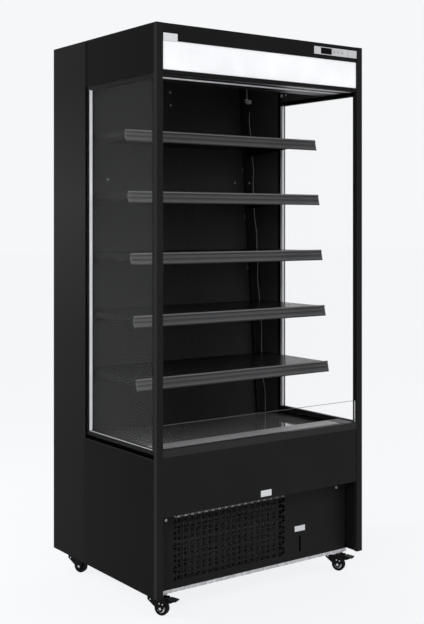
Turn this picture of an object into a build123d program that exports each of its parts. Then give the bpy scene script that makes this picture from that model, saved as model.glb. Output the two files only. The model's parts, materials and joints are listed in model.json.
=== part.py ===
from build123d import *
import math
import os

# Open multideck display fridge on castors, millimetres, +Z up, front towards -Y.
# Origin: on the floor, under the centre of the cabinet's outline.

# ---------------------------------------------------------------- overall sizes
WIDTH = 930
DEPTH = 720
HEIGHT = 1990
SIDE_WALL = 24          # thickness of the side panels and of the glazing units
REAR_WALL = 40          # foamed back panel
ROOF = 25               # foamed roof panel
SHEET = 1.2             # cover and cavity sheet
HEAVY_SHEET = 2.0       # base frame and post sheet
SHAFT_GAP = 0.06        # radial clearance of a shaft in its hole
FACE_GAP = 0.3          # clearance between faces that slide or turn past each other

# ---------------------------------------------------------------- castors
CASTOR_HEIGHT = 73
CASTOR_INSET_SIDE = 62
CASTOR_INSET_FRONT = 95
CASTOR_INSET_REAR = 65
CASTOR_SWING = {"front_left": -60, "front_right": -60, "rear_left": -64, "rear_right": -75}
CASTOR_TRAIL = 22
WHEEL_RADIUS = 25
WHEEL_WIDTH = 20
WHEEL_EDGE = 3          # rounding of the tread
WHEEL_DISH = 2          # depth of the dished face
TYRE = 6                # thickness of the tyre ring
HUB_RADIUS = 7
AXLE_RADIUS = 3
AXLE_HEAD = 1.5
PLATE_SIZE = 62
PLATE_THICKNESS = 2.5
PLATE_BOLTS = 46        # spacing of the four plate bolts
BOLT_RADIUS = 3
BOLT_HOLE = 3.3
BOLT_HEAD = 3
HOUSING_RADIUS = 20
HOUSING_HEIGHT = 6.2
KINGPIN_RADIUS = 4
KINGPIN_HEAD_RADIUS = 8
KINGPIN_HEAD = 3
FORK_SHEET = 2.5
FORK_TOP_SHEET = 3.5
FORK_SIDE_GAP = 1.5     # between wheel and fork leg
PEDAL_PIVOT_U = 40      # pedal pivot, ahead of the swivel axis
PEDAL_PIVOT_DROP = 8    # pedal pivot, below the top of the fork
PEDAL_PIN_RADIUS = 2
PEDAL_REACH = 40        # pivot to the tip of the tread plate
PEDAL_WIDTH = 32

# ---------------------------------------------------------------- cabinet, machine compartment
BASE_HEIGHT = 12
BASE_FLANGE = 30        # upturned side flange, screwed to the side panels
GUSSET = 84
GRILLE_RECESS = 61      # service grille, behind the front plane
GRILLE_SIDE_GAP = 7
GRILLE_FLANGE = 14
PERF_LEFT = 102.5       # perforated field, from the left outer face
PERF_WIDTH = 504.5
PERF_RISE = 25          # field, above the bottom of the grille
PERF_HEIGHT = 231
PERF_BASE = 28.8        # base of one triangular hole's cell
PERF_ROWS = 12
PERF_WEB = 4.2          # metal left between two holes
CABLE_SLOT = (672, 9, 28, 58)   # from the left outer face, width, rise, height
SCREW_INSET = 47
SCREW_DROP = 27
TUB_BOTTOM = 352
TUB_FLOOR = 40
TUB_FRONT = 30
TUB_SIDE = 16
TUB_TOP = 549
FRONT_PANEL_BOTTOM = 350
POST_FACE = 28
POST_DEPTH = 14
POST_ROUND = 1.5
TRIM_SETBACK = 2        # header, lip and front panel sit this far behind the post face
COLUMN_FRONT = 472      # rear column, behind the front plane, above the lower panels
LOWER_SEAM = 484        # joint of lower side panel and rear column
GROOVE = (2, 3)         # width and depth of the groove along the rear column
LOUVRE = (150, 6, 20)   # length, height and pitch of the rear slots
LOUVRE_COLUMNS = 4
LOUVRE_ROWS = 9
VENT_DEPTH = 15
GLAND_RADIUS = 9

# ---------------------------------------------------------------- glazing
LOWER_PANEL_TOP = 542
RAIL = 16               # black rail under the side glass
PANE = 4
REAR_RAIL = 7
SEALANT = 4
SPACER_BAR = 12
RISER_PANE = 5
RISER_TOP = 655
NOSE_DEPTH = 20
NOSE_HEIGHT = 25
NOSE_SLOT = 12
RISER_SETBACK = 8

# ---------------------------------------------------------------- canopy
CANOPY_SIDE = 166       # height of the canopy cheeks, above the side glass
HEADER = 57             # height of the black band
LIP_DROP = 168          # bottom edge of the canopy, below the top
LIP_HEIGHT = 14
LIGHT_BOX = 25          # depth of the light box
DIFFUSER = 3
LAMP_INSET = 37         # each end, from the post
LAMP = (11, 25)         # LED bar: depth and height
BLIND_PLANE = 35        # bar and cloth, behind the front plane
ROLLER_RADIUS = 18
ROLLER_DROP = 105       # roller axis, below the top
ROLLER_PIN = 4
ROLLER_PIN_DEPTH = 9
ROLLER_END_GAP = 8
BLIND_BAR = (14, 18)    # depth and height
CLOTH = 1.0
CLOTH_INSET = 12        # each side, from the bar's end
BAR_SIDE_GAP = 4
DUCT_FRONT = 77
HONEYCOMB = (64, 24)    # depth and height
HONEYCOMB_CELLS = (84, 6)
HONEYCOMB_WALL = 1.6
DUCT_BAND = 64          # grey band behind the honeycomb
CANOPY_FLOOR_DROP = 164
CEILING_DROP = 86

# ---------------------------------------------------------------- controller
BEZEL = (167, 28, 1.6)  # length, height, thickness
BEZEL_GAP = 1           # end cover to the right post
BEZEL_RISE = 15
END_COVER = 44
DISPLAY = (49, 22)
DISPLAY_INSET = 31
CONTROL_BODY = (150, 25, 55)
KEY_SIZE = (12, 12)
KEY_PITCH = 20
KEY_START = 97          # first key, from the left end of the bezel
KEY_DEPTH = 7
KEY_TRAVEL = 0.6
KEY_NAMES = ("set_key", "up_key", "down_key")

# ---------------------------------------------------------------- cavity
DECK_TOP = 540
DECK_BACK = 548         # foot of the slanted duct panel
DUCT_TOP_BACK = 664     # head of the slanted duct panel
DUCT_SHEET = 1.5
RETURN_TOP = 571
RETURN_DEPTH = 86
RETURN_SLOT = (5, 32)
RETURN_PITCH = 12
RETURN_ROWS = 2
UPRIGHT_CENTRE = 69     # from the left outer face
UPRIGHT = (26, 14)      # width and depth
UPRIGHT_SLOT = (4, 14)
SHELF_LOWEST = 787
TOP_BAY = 150           # least height between the top shelf and the canopy's edge
SLOT_PITCH = 27
SLOTS_PER_SHELF = 8
SHELF_REACH = 400       # duct panel to the front edge
SHELF_SIDE_GAP = 6
TRAY_HEIGHT = 20
BRACKET = 3
BRACKET_FRONT = 18
BRACKET_REAR = 48
BRACKET_SETBACK = 24
HOOK = 9
STRIP = (38, 3)         # height and thickness of the price strip
STRIP_LEAN = 9
STRIP_RIB = 1.6
STRIP_OVERHANG = 3
PROBE_DROP = 63         # middle of the clip, below the ceiling
PROBE_SIDE = 42         # from the right outer face
PROBE_CLIP = 16
PROBE_PRONG = 2.5
PROBE_REACH = 26
PROBE_LEAD = 1.5

# ---------------------------------------------------------------- refrigeration
EVAP_FAN_RADIUS = 55
EVAP_FAN_CENTRE = 190
FAN_PLATE_BACK = 150
FAN_RING = 3
FAN_TIP_GAP = 4
EVAPORATOR_GAP = 91     # each end, from the side wall
EVAPORATOR_BLOCK = (230, 120)
EVAPORATOR_FRONT = 330
FIN_PITCH = 25
FIN = 2
TUBE_RADIUS = 5
TUBE_STUB = 15          # tube end beyond the outer fin
CONDENSER = (470, 70, 230)
CONDENSER_CENTRE = 350  # from the left outer face
CONDENSER_FRONT = 85
CONDENSER_FAN_RADIUS = 95
SHROUD_DEPTH = 26
COMPRESSOR_RADIUS = 82
COMPRESSOR_HEIGHT = 190
COMPRESSOR_SIDE = 171   # its centre, from the right wall
COMPRESSOR_REAR = 220   # its centre, from the back
COMPRESSOR_FEET = 14
PORT_STUB = 8
DISCHARGE_RISE = 90     # of the port, above the base
SUCTION_RISE = 150
ELECTRICAL_BOX = (200, 110, 120)
ELECTRICAL_SIDE = 46    # from the right wall
ELECTRICAL_FRONT = 95

# ---------------------------------------------------------------- places worked out from the sizes
HALF = WIDTH / 2
INNER = HALF - SIDE_WALL
FRONT = -DEPTH / 2
BACK = DEPTH / 2
BODY_BOTTOM = CASTOR_HEIGHT + BASE_HEIGHT
BETWEEN_POSTS = HALF - POST_FACE
REAR_WALL_FACE = BACK - REAR_WALL
GLASS_TOP = HEIGHT - CANOPY_SIDE
HEADER_BOTTOM = HEIGHT - HEADER
LIP_BOTTOM = HEIGHT - LIP_DROP
ROLLER_HEIGHT = HEIGHT - ROLLER_DROP
CANOPY_FLOOR = HEIGHT - CANOPY_FLOOR_DROP
CEILING = HEIGHT - CEILING_DROP
GLASS_BOTTOM = LOWER_PANEL_TOP + RAIL
GLASS_BACK = FRONT + COLUMN_FRONT - REAR_RAIL
SHELF_PITCH = SLOT_PITCH * SLOTS_PER_SHELF
SHELF_COUNT = int((LIP_BOTTOM - TOP_BAY - SHELF_LOWEST) / SHELF_PITCH) + 1
SHELF_TOPS = [SHELF_LOWEST + i * SHELF_PITCH for i in range(SHELF_COUNT)]
ROOF_BOTTOM = HEIGHT - ROOF
HEADER_FACE = FRONT + TRIM_SETBACK


# ---------------------------------------------------------------- helpers
def block(x0, x1, y0, y1, z0, z1):
    """A box between two corners."""
    size = Box(x1 - x0, y1 - y0, z1 - z0)
    return Pos((x0 + x1) / 2, (y0 + y1) / 2, (z0 + z1) / 2) * size


def extrude_x(outline, x0, x1):
    """An outline of (y, z) points, from x0 to x1."""
    return extrude(Plane.YZ.offset(x0) * Polygon(*outline, align=None), x1 - x0, dir=(1, 0, 0))


def extrude_y(outline, y0, y1):
    """An outline of (x, z) points, from y0 to y1."""
    return extrude(Plane.XZ.offset(-y0) * Polygon(*outline, align=None), y1 - y0, dir=(0, 1, 0))


def ribbon(path, thickness):
    """Outline of a folded sheet: the path, and its mitred offset to the left of it."""
    points = [Vector(*p) for p in path]
    runs = [b - a for a, b in zip(points, points[1:])]
    normals = [Vector(-run.Y, run.X).normalized() for run in runs]
    offset = []
    for i, point in enumerate(points):
        before = normals[max(i - 1, 0)]
        after = normals[min(i, len(normals) - 1)]
        mitre = (before + after).normalized()
        offset.append(point + mitre * (thickness / mitre.dot(before)))
    return [(p.X, p.Y) for p in points] + [(p.X, p.Y) for p in reversed(offset)]


def both_sides(shape):
    """A left piece and its mirror image on the right."""
    return [shape, mirror(shape, Plane.YZ)]


def group(shapes):
    """Several separate solids as one node."""
    return Compound([solid for shape in shapes for solid in shape.solids()])


def rod(radius, start, end):
    """A round bar between two points."""
    axis = Vector(*end) - Vector(*start)
    plane = Plane(origin=start, z_dir=axis)
    return extrude(plane * Circle(radius), axis.length)


def duct_face(z):
    """Where the front of the slanted duct panel stands at height z."""
    share = (z - DECK_TOP) / (CEILING - DECK_TOP)
    return FRONT + DECK_BACK + share * (DUCT_TOP_BACK - DECK_BACK)


# ---------------------------------------------------------------- castors
FORK_TOP = CASTOR_HEIGHT - PLATE_THICKNESS - HOUSING_HEIGHT - FACE_GAP
LEG_INNER = WHEEL_WIDTH / 2 + FORK_SIDE_GAP
LEG_OUTER = LEG_INNER + FORK_SHEET
PEDAL_PIVOT_Z = FORK_TOP - PEDAL_PIVOT_DROP


def castor_place(name):
    """Swivel axis of one castor, turned so that local +X is the way it trails."""
    side = -1 if name.endswith("left") else 1
    x = side * (HALF - CASTOR_INSET_SIDE)
    y = FRONT + CASTOR_INSET_FRONT if name.startswith("front") else BACK - CASTOR_INSET_REAR
    return Pos(x, y, 0) * Rot(0, 0, CASTOR_SWING[name])


def castor_plate(name):
    """Top plate with its ball housing and the riveted kingpin."""
    place = castor_place(name)
    top = CASTOR_HEIGHT
    plate = block(-PLATE_SIZE / 2, PLATE_SIZE / 2, -PLATE_SIZE / 2, PLATE_SIZE / 2, top - PLATE_THICKNESS, top)
    plate = fillet(plate.edges().filter_by(Axis.Z), PLATE_SIZE / 10)
    bottom = FORK_TOP + FACE_GAP
    housing = rod(HOUSING_RADIUS, (0, 0, bottom), (0, 0, top - PLATE_THICKNESS))
    head_top = FORK_TOP - FORK_TOP_SHEET - FACE_GAP
    kingpin = rod(KINGPIN_RADIUS, (0, 0, head_top), (0, 0, bottom))
    head = rod(KINGPIN_HEAD_RADIUS, (0, 0, head_top - KINGPIN_HEAD), (0, 0, head_top))
    solid = Pos(*place.position) * (plate + housing + kingpin + head)
    for x, y in plate_bolts(name):
        solid -= rod(BOLT_HOLE, (x, y, top - 2 * PLATE_THICKNESS), (x, y, top + PLATE_THICKNESS))
    return solid


def plate_bolts(name):
    """Centres of one castor plate's four bolts."""
    centre = castor_place(name).position
    half = PLATE_BOLTS / 2
    return [(centre.X + i * half, centre.Y + j * half) for i in (-1, 1) for j in (-1, 1)]


def fork(with_brake):
    """Pressed fork with its riveted axle; legs reach forward where they hold a pedal."""
    z = WHEEL_RADIUS
    reach = PEDAL_PIVOT_U + 6 if with_brake else CASTOR_TRAIL + 10
    back = HOUSING_RADIUS + 7
    outline = [(-back, FORK_TOP), (reach, FORK_TOP), (reach, FORK_TOP - 16), (CASTOR_TRAIL + 13, z + 3),
               (CASTOR_TRAIL + 6, z - 9), (CASTOR_TRAIL + 3, z - 12), (CASTOR_TRAIL - 4, z - 12),
               (CASTOR_TRAIL - 9, z - 6), (CASTOR_TRAIL - 20, z + 3), (-back, FORK_TOP - 13)]
    solid = extrude_y(outline, LEG_INNER, LEG_OUTER) + extrude_y(outline, -LEG_OUTER, -LEG_INNER)
    solid += block(-back, CASTOR_TRAIL + 6, -LEG_OUTER, LEG_OUTER, FORK_TOP - FORK_TOP_SHEET, FORK_TOP)
    solid += rod(HOUSING_RADIUS, (0, 0, FORK_TOP - FORK_TOP_SHEET), (0, 0, FORK_TOP))
    solid -= rod(KINGPIN_RADIUS + SHAFT_GAP, (0, 0, FORK_TOP - 10), (0, 0, FORK_TOP + 1))
    solid += rod(AXLE_RADIUS, (CASTOR_TRAIL, -LEG_OUTER - AXLE_HEAD, z), (CASTOR_TRAIL, LEG_OUTER + AXLE_HEAD, z))
    for side in (-1, 1):
        start = (CASTOR_TRAIL, side * LEG_OUTER, z)
        solid += rod(AXLE_RADIUS + 2, start, (CASTOR_TRAIL, side * (LEG_OUTER + AXLE_HEAD), z))
    if with_brake:
        hole = PEDAL_PIN_RADIUS + SHAFT_GAP
        solid -= rod(hole, (PEDAL_PIVOT_U, -LEG_OUTER - 1, PEDAL_PIVOT_Z), (PEDAL_PIVOT_U, LEG_OUTER + 1, PEDAL_PIVOT_Z))
    return solid


def wheel():
    """Dished wheel with hub, bore and a tread ring marked off by a groove."""
    z = WHEEL_RADIUS
    half = WHEEL_WIDTH / 2
    rim = WHEEL_RADIUS - TYRE
    profile = [(AXLE_RADIUS + SHAFT_GAP, half), (HUB_RADIUS, half), (HUB_RADIUS, half - WHEEL_DISH),
               (rim - WHEEL_DISH, half - WHEEL_DISH), (rim, half), (WHEEL_RADIUS - WHEEL_EDGE, half),
               (WHEEL_RADIUS, half - WHEEL_EDGE)]
    outline = profile + [(r, -y) for r, y in reversed(profile)]
    turned = revolve(Plane.XY * Polygon(*outline, align=None), Axis.Y)
    return Pos(CASTOR_TRAIL, 0, z) * turned


def brake_pedal():
    """Cam lever between the fork legs, with its pin and the wide tread plate."""
    u, z = PEDAL_PIVOT_U, PEDAL_PIVOT_Z
    tip = u + PEDAL_REACH
    lever = [(u - 6, z + 3.5), (u + 6, z + 5), (tip - 4, z + 1.5), (tip - 4, z - 1), (u + 18, z - 10), (u + 4, z - 12)]
    solid = extrude_y(lever, -LEG_INNER + FACE_GAP * 2, LEG_INNER - FACE_GAP * 2)
    tread = [(u + 10, z + 5), (tip, z + 1.5), (tip, z - 1.5), (u + 10, z + 2)]
    solid += extrude_y(tread, -PEDAL_WIDTH / 2, PEDAL_WIDTH / 2)
    solid += rod(PEDAL_PIN_RADIUS, (u, -LEG_OUTER - AXLE_HEAD, z), (u, LEG_OUTER + AXLE_HEAD, z))
    return solid


def castors():
    nodes = {"castor_plates": group([castor_plate(name) for name in CASTOR_SWING])}
    for name in CASTOR_SWING:
        place = castor_place(name)
        braked = name.startswith("front")
        nodes[f"castor_fork_{name}"] = place * fork(braked)
        nodes[f"castor_wheel_{name}"] = place * wheel()
        if braked:
            nodes[f"brake_pedal_{name}"] = place * brake_pedal()
    return nodes


# ---------------------------------------------------------------- base frame and outer panels
GRILLE_FACE = FRONT + GRILLE_RECESS


def base_frame():
    """Galvanised inverted tray with side flanges and a gusset over each castor."""
    front = GRILLE_FACE + SHEET
    rear = BACK - VENT_DEPTH
    t = HEAVY_SHEET
    tray = block(-INNER, INNER, front, rear, CASTOR_HEIGHT, BODY_BOTTOM)
    tray -= block(-INNER + t, INNER - t, front + t, rear - t, CASTOR_HEIGHT - t, BODY_BOTTOM - t)
    for side in (-1, 1):
        outer = sorted((side * INNER, side * (INNER - t)))
        tray += block(*outer, front, rear, BODY_BOTTOM, BODY_BOTTOM + BASE_FLANGE)
        corner = sorted((side * INNER, side * (INNER - GUSSET)))
        tray += block(*corner, front, front + GUSSET, CASTOR_HEIGHT, CASTOR_HEIGHT + t)
        tray += block(*corner, rear - GUSSET, rear, CASTOR_HEIGHT, CASTOR_HEIGHT + t)
    for name in CASTOR_SWING:
        for x, y in plate_bolts(name):
            tray -= rod(BOLT_HOLE, (x, y, CASTOR_HEIGHT - t), (x, y, CASTOR_HEIGHT + 2 * t))
    return tray


def front_post():
    """Left front post: a channel that caps the panel and glass edges."""
    t = HEAVY_SHEET
    post = block(-HALF, -BETWEEN_POSTS, FRONT, FRONT + POST_DEPTH, BODY_BOTTOM, HEIGHT)
    post -= block(-HALF + t, -BETWEEN_POSTS - t, FRONT + t, FRONT + 2 * POST_DEPTH, BODY_BOTTOM - 1, HEIGHT - t)
    corners = post.edges().filter_by(Axis.Z).sort_by(Axis.Y)[:2]
    return fillet(corners, POST_ROUND)


def lower_side_panel():
    return block(-HALF, -INNER, FRONT + POST_DEPTH, FRONT + LOWER_SEAM, BODY_BOTTOM, LOWER_PANEL_TOP)


def rear_side_panel():
    """Left rear column; it narrows below the glass, and a groove runs down its front edge."""
    column = FRONT + COLUMN_FRONT
    seam = FRONT + LOWER_SEAM
    outline = [(column, HEIGHT), (BACK, HEIGHT), (BACK, BODY_BOTTOM), (seam, BODY_BOTTOM),
               (seam, LOWER_PANEL_TOP), (column, LOWER_PANEL_TOP)]
    panel = extrude_x(outline, -HALF, -INNER)
    width, depth = GROOVE
    return panel - block(-HALF - 1, -HALF + depth, column - 1, column + width, LOWER_PANEL_TOP - 1, HEIGHT + 1)


def canopy_side():
    """Left canopy cheek, with the blind hole that carries the roller's pin."""
    panel = block(-HALF, -INNER, FRONT + POST_DEPTH, FRONT + COLUMN_FRONT, GLASS_TOP, HEIGHT)
    y = FRONT + BLIND_PLANE + ROLLER_RADIUS
    pin_hole = rod(ROLLER_PIN + SHAFT_GAP, (-INNER - ROLLER_PIN_DEPTH - 1, y, ROLLER_HEIGHT), (-INNER + 1, y, ROLLER_HEIGHT))
    return panel - pin_hole


def front_panel():
    """Shallow pressed pan between the posts, over the front of the tub."""
    y0, y1 = FRONT + TRIM_SETBACK, FRONT + POST_DEPTH
    pan = block(-BETWEEN_POSTS, BETWEEN_POSTS, y0, y1, FRONT_PANEL_BOTTOM, TUB_TOP)
    t = SHEET
    return pan - block(-BETWEEN_POSTS + t, BETWEEN_POSTS - t, y0 + t, y1 + t, FRONT_PANEL_BOTTOM + t, TUB_TOP - t)


def triangle(x, z, base, height, up):
    """A triangular hole's outline about the middle of its cell."""
    way = 1 if up else -1
    return [(x - base / 2, z - way * height / 2), (x + base / 2, z - way * height / 2), (x, z + way * height / 2)]


def perforation():
    """Alternating triangles that leave a lattice of even webs."""
    row_height = PERF_HEIGHT / PERF_ROWS
    hole_base = PERF_BASE - 2 * PERF_WEB
    hole_height = row_height - PERF_WEB
    bottom = BODY_BOTTOM + PERF_RISE
    left = -HALF + PERF_LEFT
    columns = int(PERF_WIDTH / (PERF_BASE / 2)) - 1
    holes = []
    for row in range(PERF_ROWS):
        z = bottom + (row + 0.5) * row_height
        for column in range(columns):
            x = left + (column + 1) * PERF_BASE / 2
            holes.append(triangle(x, z, hole_base, hole_height, (row + column) % 2 == 0))
    return holes


def grille_panel():
    """Lift-off service grille in front of the condenser."""
    x = INNER - GRILLE_SIDE_GAP
    top = FRONT_PANEL_BOTTOM
    t = SHEET
    plane = Plane.XZ.offset(-GRILLE_FACE)
    holes = [Wire.make_polygon([(px, 0, pz) for px, pz in hole]).moved(Location((0, GRILLE_FACE, 0)))
             for hole in perforation()]
    corners = [(-x, BODY_BOTTOM), (x, BODY_BOTTOM), (x, top), (-x, top)]
    outer = Wire.make_polygon([(px, GRILLE_FACE, pz) for px, pz in corners])
    sheet = extrude(Face(outer, holes), t, dir=-plane.z_dir)
    frame = block(-x, x, GRILLE_FACE + t, GRILLE_FACE + GRILLE_FLANGE, BODY_BOTTOM, top)
    frame -= block(-x + t, x - t, GRILLE_FACE, GRILLE_FACE + 2 * GRILLE_FLANGE, BODY_BOTTOM + t, top - t)
    left, width, rise, height = CABLE_SLOT
    slot = block(left - HALF - width / 2, left - HALF + width / 2, GRILLE_FACE - 1, GRILLE_FACE + 2 * t,
                 BODY_BOTTOM + rise, BODY_BOTTOM + rise + height)
    panel = sheet + frame - slot
    for px, pz in grille_screws():
        panel -= rod(SCREW_SHANK + SHAFT_GAP, (px, GRILLE_FACE - 1, pz), (px, GRILLE_FACE + 2 * t, pz))
    return panel


def rear_vent_panel():
    """Slotted cover behind the machine compartment."""
    y0, t = BACK - VENT_DEPTH, SHEET
    pan = block(-INNER, INNER, y0, BACK, BODY_BOTTOM, FRONT_PANEL_BOTTOM)
    pan -= block(-INNER + t, INNER - t, y0 - t, BACK - t, BODY_BOTTOM + t, FRONT_PANEL_BOTTOM - t)
    length, height, pitch = LOUVRE
    step = 2 * INNER / LOUVRE_COLUMNS
    middle = (BODY_BOTTOM + FRONT_PANEL_BOTTOM) / 2
    for column in range(LOUVRE_COLUMNS):
        x = -INNER + (column + 0.5) * step
        for row in range(LOUVRE_ROWS):
            z = middle + (row - (LOUVRE_ROWS - 1) / 2) * pitch
            pan -= block(x - length / 2, x + length / 2, BACK - 2 * t, BACK + t, z - height / 2, z + height / 2)
    return pan


def cord_gland():
    """Strain relief body on the inside of the rear cover, for the mains lead."""
    x = INNER - 40
    z = BODY_BOTTOM + 30
    inside = BACK - SHEET
    gland = rod(GLAND_RADIUS, (x, inside - 10, z), (x, inside, z))
    return gland - rod(GLAND_RADIUS / 2, (x, inside - 20, z), (x, inside + 1, z))


def shell():
    rear_wall = block(-INNER, INNER, REAR_WALL_FACE, BACK, FRONT_PANEL_BOTTOM, HEIGHT)
    roof = block(-INNER, INNER, FRONT + DUCT_FRONT + SHEET, REAR_WALL_FACE, ROOF_BOTTOM, HEIGHT)
    return {
        "base_frame": base_frame(),
        "front_posts": group(both_sides(front_post())),
        "lower_side_panels": group(both_sides(lower_side_panel())),
        "rear_side_panels": group(both_sides(rear_side_panel())),
        "canopy_sides": group(both_sides(canopy_side())),
        "canopy_top": roof,
        "rear_wall": rear_wall,
        "rear_vent_panel": group([rear_vent_panel(), cord_gland()]),
        "front_panel": front_panel(),
        "grille_panel": grille_panel(),
    }


# ---------------------------------------------------------------- glazing
def ring(y0, y1, z0, z1, width, x0, x1):
    """A rectangular frame that stands in the YZ plane."""
    outer = block(x0, x1, y0, y1, z0, z1)
    return outer - block(x0 - 1, x1 + 1, y0 + width, y1 - width, z0 + width, z1 - width)


def glazing():
    y0, y1 = FRONT + POST_DEPTH, GLASS_BACK
    z0, z1 = GLASS_BOTTOM, GLASS_TOP
    outer_pane = block(-HALF, -HALF + PANE, y0, y1, z0, z1)
    inner_pane = block(-INNER - PANE, -INNER, y0, y1, z0, z1)
    gap = (-HALF + PANE, -INNER - PANE)
    sealant = ring(y0, y1, z0, z1, SEALANT, *gap)
    spacer = ring(y0 + SEALANT, y1 - SEALANT, z0 + SEALANT, z1 - SEALANT, SPACER_BAR, *gap)
    column = FRONT + COLUMN_FRONT
    rail = [(y0, LOWER_PANEL_TOP), (column, LOWER_PANEL_TOP), (column, z1), (y1, z1), (y1, z0), (y0, z0)]
    rails = extrude_x(rail, -HALF, -INNER)
    riser_front = FRONT + RISER_SETBACK
    nose_top = TUB_TOP + NOSE_HEIGHT
    gap_x = HALF - POST_FACE - FACE_GAP
    riser = block(-gap_x, gap_x, riser_front, riser_front + RISER_PANE, nose_top - NOSE_SLOT, RISER_TOP)
    return {
        "side_glass": group(both_sides(outer_pane) + both_sides(inner_pane)),
        "glass_spacers": group(both_sides(spacer) + both_sides(sealant)),
        "glass_surrounds": group(both_sides(rails)),
        "riser_glass": riser,
    }


# ---------------------------------------------------------------- canopy
def header_band():
    """Folded fascia over the light box, wider on top behind the posts, with the controller's cut-out."""
    path = [(FRONT + LIGHT_BOX, HEADER_BOTTOM), (HEADER_FACE, HEADER_BOTTOM), (HEADER_FACE, HEIGHT),
            (FRONT + DUCT_FRONT + SHEET, HEIGHT)]
    band = extrude_x(ribbon(path[::-1], SHEET), -BETWEEN_POSTS, BETWEEN_POSTS)
    band += block(-INNER, INNER, FRONT + POST_DEPTH, FRONT + DUCT_FRONT + SHEET, HEIGHT - SHEET, HEIGHT)
    x0, z0 = control_corner()
    length, height, depth = CONTROL_BODY
    return band - block(x0 + margin_x(), x0 + margin_x() + length, HEADER_FACE - 1, HEADER_FACE + 2 * SHEET,
                        z0 + margin_z(), z0 + margin_z() + height)


def canopy_lip():
    """Bottom lip and back wall of the light box."""
    rear = FRONT + LIGHT_BOX
    path = [(HEADER_FACE, LIP_BOTTOM + LIP_HEIGHT), (HEADER_FACE, LIP_BOTTOM), (rear, LIP_BOTTOM), (rear, HEADER_BOTTOM)]
    return extrude_x(ribbon(path, SHEET), -BETWEEN_POSTS, BETWEEN_POSTS)


def light_panel():
    front = HEADER_FACE + 2 * SHEET
    return block(-BETWEEN_POSTS, BETWEEN_POSTS, front, front + DIFFUSER, LIP_BOTTOM + SHEET, HEADER_BOTTOM)


def header_lamp():
    """LED bar on the back wall of the light box."""
    depth, height = LAMP
    x = BETWEEN_POSTS - LAMP_INSET
    y1 = FRONT + LIGHT_BOX - SHEET
    z = (LIP_BOTTOM + LIP_HEIGHT + HEADER_BOTTOM) / 2
    bar = block(-x, x, y1 - depth, y1, z - height / 2, z + height / 2)
    return chamfer(bar.edges().filter_by(Axis.X).group_by(Axis.Y)[0], depth / 3)


def canopy_duct():
    """Two folded sheets that lead cold air from the rear duct to the honeycomb."""
    y = FRONT + DUCT_FRONT
    slot_back = FRONT + BLIND_PLANE + BLIND_BAR[0]
    front_path = [(slot_back, CANOPY_FLOOR), (y, CANOPY_FLOOR), (y, HEIGHT - SHEET)]
    front_sheet = extrude_x(ribbon(front_path[::-1], SHEET), -INNER, INNER)
    comb_back = y + SHEET + HONEYCOMB[0]
    band_back = comb_back + DUCT_BAND
    comb_top = CANOPY_FLOOR + HONEYCOMB[1]
    rear_path = [(comb_back, comb_top), (comb_back, CANOPY_FLOOR), (band_back, CANOPY_FLOOR), (band_back, CEILING),
                 (duct_face(CEILING) + DUCT_SHEET, CEILING)]
    rear_sheet = extrude_x(ribbon(rear_path, SHEET), -INNER, INNER)
    return group([front_sheet, rear_sheet])


def honeycomb():
    """Air outlet: a slab of straight cells."""
    depth, height = HONEYCOMB
    y0 = FRONT + DUCT_FRONT + SHEET
    z0 = CANOPY_FLOOR
    slab = block(-INNER, INNER, y0, y0 + depth, z0, z0 + height)
    columns, rows = HONEYCOMB_CELLS
    pitch_x = 2 * INNER / columns
    pitch_y = depth / rows
    cell = (pitch_x - HONEYCOMB_WALL, pitch_y - HONEYCOMB_WALL)
    centres = [(-INNER + (i + 0.5) * pitch_x, y0 + (j + 0.5) * pitch_y) for i in range(columns) for j in range(rows)]
    holes = Sketch() + [Pos(x, y) * Rectangle(*cell) for x, y in centres]
    face = Plane.XY.offset(z0) * Pos(0, y0 + depth / 2) * Rectangle(2 * INNER, depth) - Plane.XY.offset(z0) * holes
    return extrude(face, height)


def blind():
    """Night blind: sprung roller, the free stretch of cloth and the hand bar, rolled up."""
    y_axis = FRONT + BLIND_PLANE + ROLLER_RADIUS
    tube = INNER - ROLLER_END_GAP
    pin_end = INNER + ROLLER_PIN_DEPTH
    roller = rod(ROLLER_RADIUS - CLOTH - FACE_GAP, (-tube, y_axis, ROLLER_HEIGHT), (tube, y_axis, ROLLER_HEIGHT))
    roller += rod(ROLLER_PIN, (-pin_end, y_axis, ROLLER_HEIGHT), (pin_end, y_axis, ROLLER_HEIGHT))
    depth, height = BLIND_BAR
    bar_x = INNER - BAR_SIDE_GAP
    y = FRONT + BLIND_PLANE
    bar = block(-bar_x, bar_x, y - depth / 2, y + depth / 2, LIP_BOTTOM, LIP_BOTTOM + height)
    bar = fillet(bar.edges().filter_by(Axis.X), depth / 4)
    grip = block(-bar_x / 6, bar_x / 6, y - depth / 2 - 1, y - depth / 2 + 2, LIP_BOTTOM + height / 3,
                 LIP_BOTTOM + 2 * height / 3)
    cloth_x = bar_x - CLOTH_INSET
    cloth = block(-cloth_x, cloth_x, y - CLOTH / 2, y + CLOTH / 2, LIP_BOTTOM + height, ROLLER_HEIGHT)
    return {"blind_roller": roller, "blind_cloth": cloth, "blind_bar": bar - grip}


def canopy():
    nodes = {
        "header_band": header_band(),
        "canopy_lip": canopy_lip(),
        "light_panel": light_panel(),
        "header_lamp": header_lamp(),
        "canopy_duct": canopy_duct(),
        "air_honeycomb": honeycomb(),
    }
    nodes.update(blind())
    return nodes


# ---------------------------------------------------------------- controller
def control_corner():
    """Lower left corner of the bezel, (x, z)."""
    return BETWEEN_POSTS - BEZEL_GAP - END_COVER - BEZEL[0], HEADER_BOTTOM + BEZEL_RISE


def margin_x():
    return (BEZEL[0] - CONTROL_BODY[0]) / 2


def margin_z():
    return (BEZEL[1] - CONTROL_BODY[1]) / 2


def key_places():
    x0, z0 = control_corner()
    return [(x0 + KEY_START + i * KEY_PITCH, z0 + BEZEL[1] / 2) for i in range(len(KEY_NAMES))]


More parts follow.
